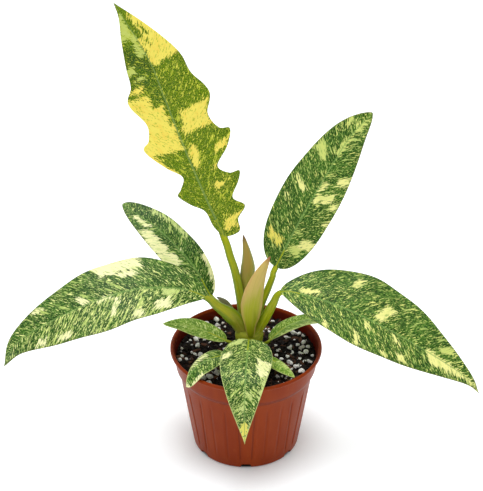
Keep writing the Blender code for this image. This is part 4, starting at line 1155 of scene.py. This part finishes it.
def perlite_material():
    """White porous grains with grey and tan stains, and painted shade in their pores."""
    graph = Graph(bpy.data.materials.new("perlite_look"))
    wear = graph.field("wear")
    tint = graph.noise(graph.field("tint"), (1.0, 1.0, 1.0), 0.0)
    pores = graph.noise(wear, (2.2, 2.2, 2.2), 4.0, 0.65)
    stain = graph.noise(wear, (0.5, 0.5, 0.5), 2.0)
    # The last layer is painted shade: grey where the bump sinks into the pores.
    colour = graph.paint(srgb(254, 252, 250), (srgb(204, 192, 180), tint, 0.58, 0.78, 0.7),
                         (srgb(196, 180, 160), stain, 0.55, 0.78, 0.4),
                         (srgb(150, 140, 132), pores, 0.48, 0.32, 0.5))
    roughness = graph.math("MULTIPLY_ADD", pores, 0.2, 0.7)
    return graph.finish(colour, roughness, pores, 0.5 * MM, {"Specular IOR Level": 0.3})


def make_crown():
    """The crown with the rings that old leaves left round it."""
    profile = [(0.0, CROWN_FOOT), (CROWN_STEM_RADIUS, CROWN_FOOT), *CROWN_PROFILE,
               (0.0, CROWN_TOP)]
    profile = refined(np.array(profile, dtype=float), CROWN_STEP)[1:-1]
    angles = 2.0 * math.pi * np.arange(CROWN_SEGMENTS) / CROWN_SEGMENTS
    height = np.repeat(profile[:, 1:], CROWN_SEGMENTS, axis=1)
    radius = np.repeat(profile[:, :1], CROWN_SEGMENTS, axis=1)
    swirl = height + 0.6 * np.sin(2 * angles + 0.5)
    swell = CROWN_RING_HEIGHT * np.abs(np.sin(math.pi * swirl / CROWN_RING_PITCH))
    radius = radius - 0.25 + swell * ease(height, 82.0, 86.0) * ease(radius, 1.0, 5.0)
    points = stacked(CROWN_PLACE[0] + radius * np.cos(angles),
                     CROWN_PLACE[1] + radius * np.sin(angles), height)
    ends = np.array([[*CROWN_PLACE, CROWN_FOOT], [*CROWN_PLACE, CROWN_TOP]])
    crown = tube("crown_stem", points, ends, crown_material(), {"wear": points})
    dress(crown, "stem", "crown")


def crown_material():
    """Green-tan crown with pinkish scars."""
    graph = Graph(bpy.data.materials.new("crown_skin"))
    wear = graph.field("wear")
    height = graph.parts(wear)[2]
    bands = graph.noise(wear, (0.08, 0.08, 0.8), 3.0, 0.6)
    grain = graph.noise(wear, (1.5, 1.5, 2.5), 3.0)
    inputs = {0: wear, 1: CROWN_SCAR}
    apart = graph.put("VectorMath", inputs, operation="DISTANCE").outputs["Value"]
    colour = graph.paint(srgb(138, 150, 10), (srgb(160, 164, 26), bands, 0.42, 0.60),
                         (srgb(206, 164, 116), apart, CROWN_SCAR_REACH, 0.5 * CROWN_SCAR_REACH,
                          0.75),
                         (srgb(120, 98, 48), height, 84.5, 81.5, 0.8))
    roughness = graph.math("MULTIPLY_ADD", grain, 0.25, 0.4)
    height_map = graph.math("ADD", grain, bands)
    return graph.finish(colour, roughness, height_map, 0.3 * MM, {"Specular IOR Level": 0.4})


def make_stage():
    """A pale floor with painted glow and painted shade under the pot, soft light and the camera.
    """
    graph = Graph(bpy.data.materials.new("floor_white"))
    place = graph.put("TexCoord", {}).outputs["Object"]
    haze = graph.noise(place, (3.0, 3.0, 1.0), 2.0)
    apart = graph.put("VectorMath", {0: place}, operation="LENGTH").outputs["Value"]
    foot = WALL_FOOT_RADIUS * MM
    under = foot - FOOT_SHADE_WIDTH * MM
    # Painted shade: the floor turns dark from the pot's foot inwards, under the pot.
    colour = graph.paint(srgb(243, 247, 251), (srgb(245, 249, 253), haze, 0.3, 0.7),
                         (srgb(44, 32, 28), apart, foot, under))
    material = graph.finish(colour, 0.8, haze, 0.01 * MM,
                            {"Specular IOR Level": 0.2, "Emission Color": WHITE})
    # Painted light: the floor glows though it is no lamp, not under the pot and fully further out.
    near, far = (reach * MM for reach in FLOOR_GLOW_REACH)
    glow = graph.math("MULTIPLY", graph.step(apart, near, far, FLOOR_GLOW),
                      graph.step(apart, under, foot))
    graph.feed(graph.tree.nodes["Principled BSDF"].inputs["Emission Strength"], glow)
    corners = FLOOR_REACH * np.array([(-1, -1, 0), (1, -1, 0), (1, 1, 0), (-1, 1, 0)])
    build_mesh("floor", corners, [np.arange(4)], material)

    world = bpy.data.worlds.new("studio")
    sky = Graph(world)
    away = sky.parts(sky.put("TexCoord", {}).outputs["Generated"])[1]
    glow = sky.math("MULTIPLY_ADD", away, WORLD_SLOPE, WORLD_LEVEL)
    backdrop = world.node_tree.nodes["Background"]
    sky.feed(backdrop.inputs["Strength"], sky.math("MAXIMUM", glow, WORLD_LEAST))
    backdrop.inputs["Color"].default_value = WHITE
    bpy.context.scene.world = world
    for name, place, energy, size in LAMPS:
        lamp = bpy.data.lights.new(name, "AREA")
        lamp.energy = energy
        lamp.size = size
        thing = bpy.data.objects.new(name, lamp)
        thing.location = place
        aim = np.array(LAMP_AIM) - np.array(place)
        thing.rotation_euler = (math.acos(aim[2] / np.linalg.norm(aim)) + math.pi, 0.0,
                                math.atan2(aim[1], aim[0]) - 0.5 * math.pi)
        bpy.context.scene.collection.objects.link(thing)

    lens = bpy.data.cameras.new("camera")
    lens.sensor_width = SENSOR_SIZE
    lens.lens = CAMERA_FOCUS * SENSOR_SIZE / max(PICTURE_SIZE)
    lens.clip_start, lens.clip_end = VIEW_DEPTH
    camera = bpy.data.objects.new("camera", lens)
    camera.location = [value * MM for value in CAMERA_PLACE]
    camera.rotation_euler = (math.radians(90.0 - CAMERA_PITCH), 0.0, 0.0)
    bpy.context.scene.collection.objects.link(camera)
    bpy.context.scene.camera = camera
    bpy.context.scene.view_settings.view_transform = "Standard"


make_stage()
make_pot()
make_mix()
make_crown()
make_leaves()
make_scales()
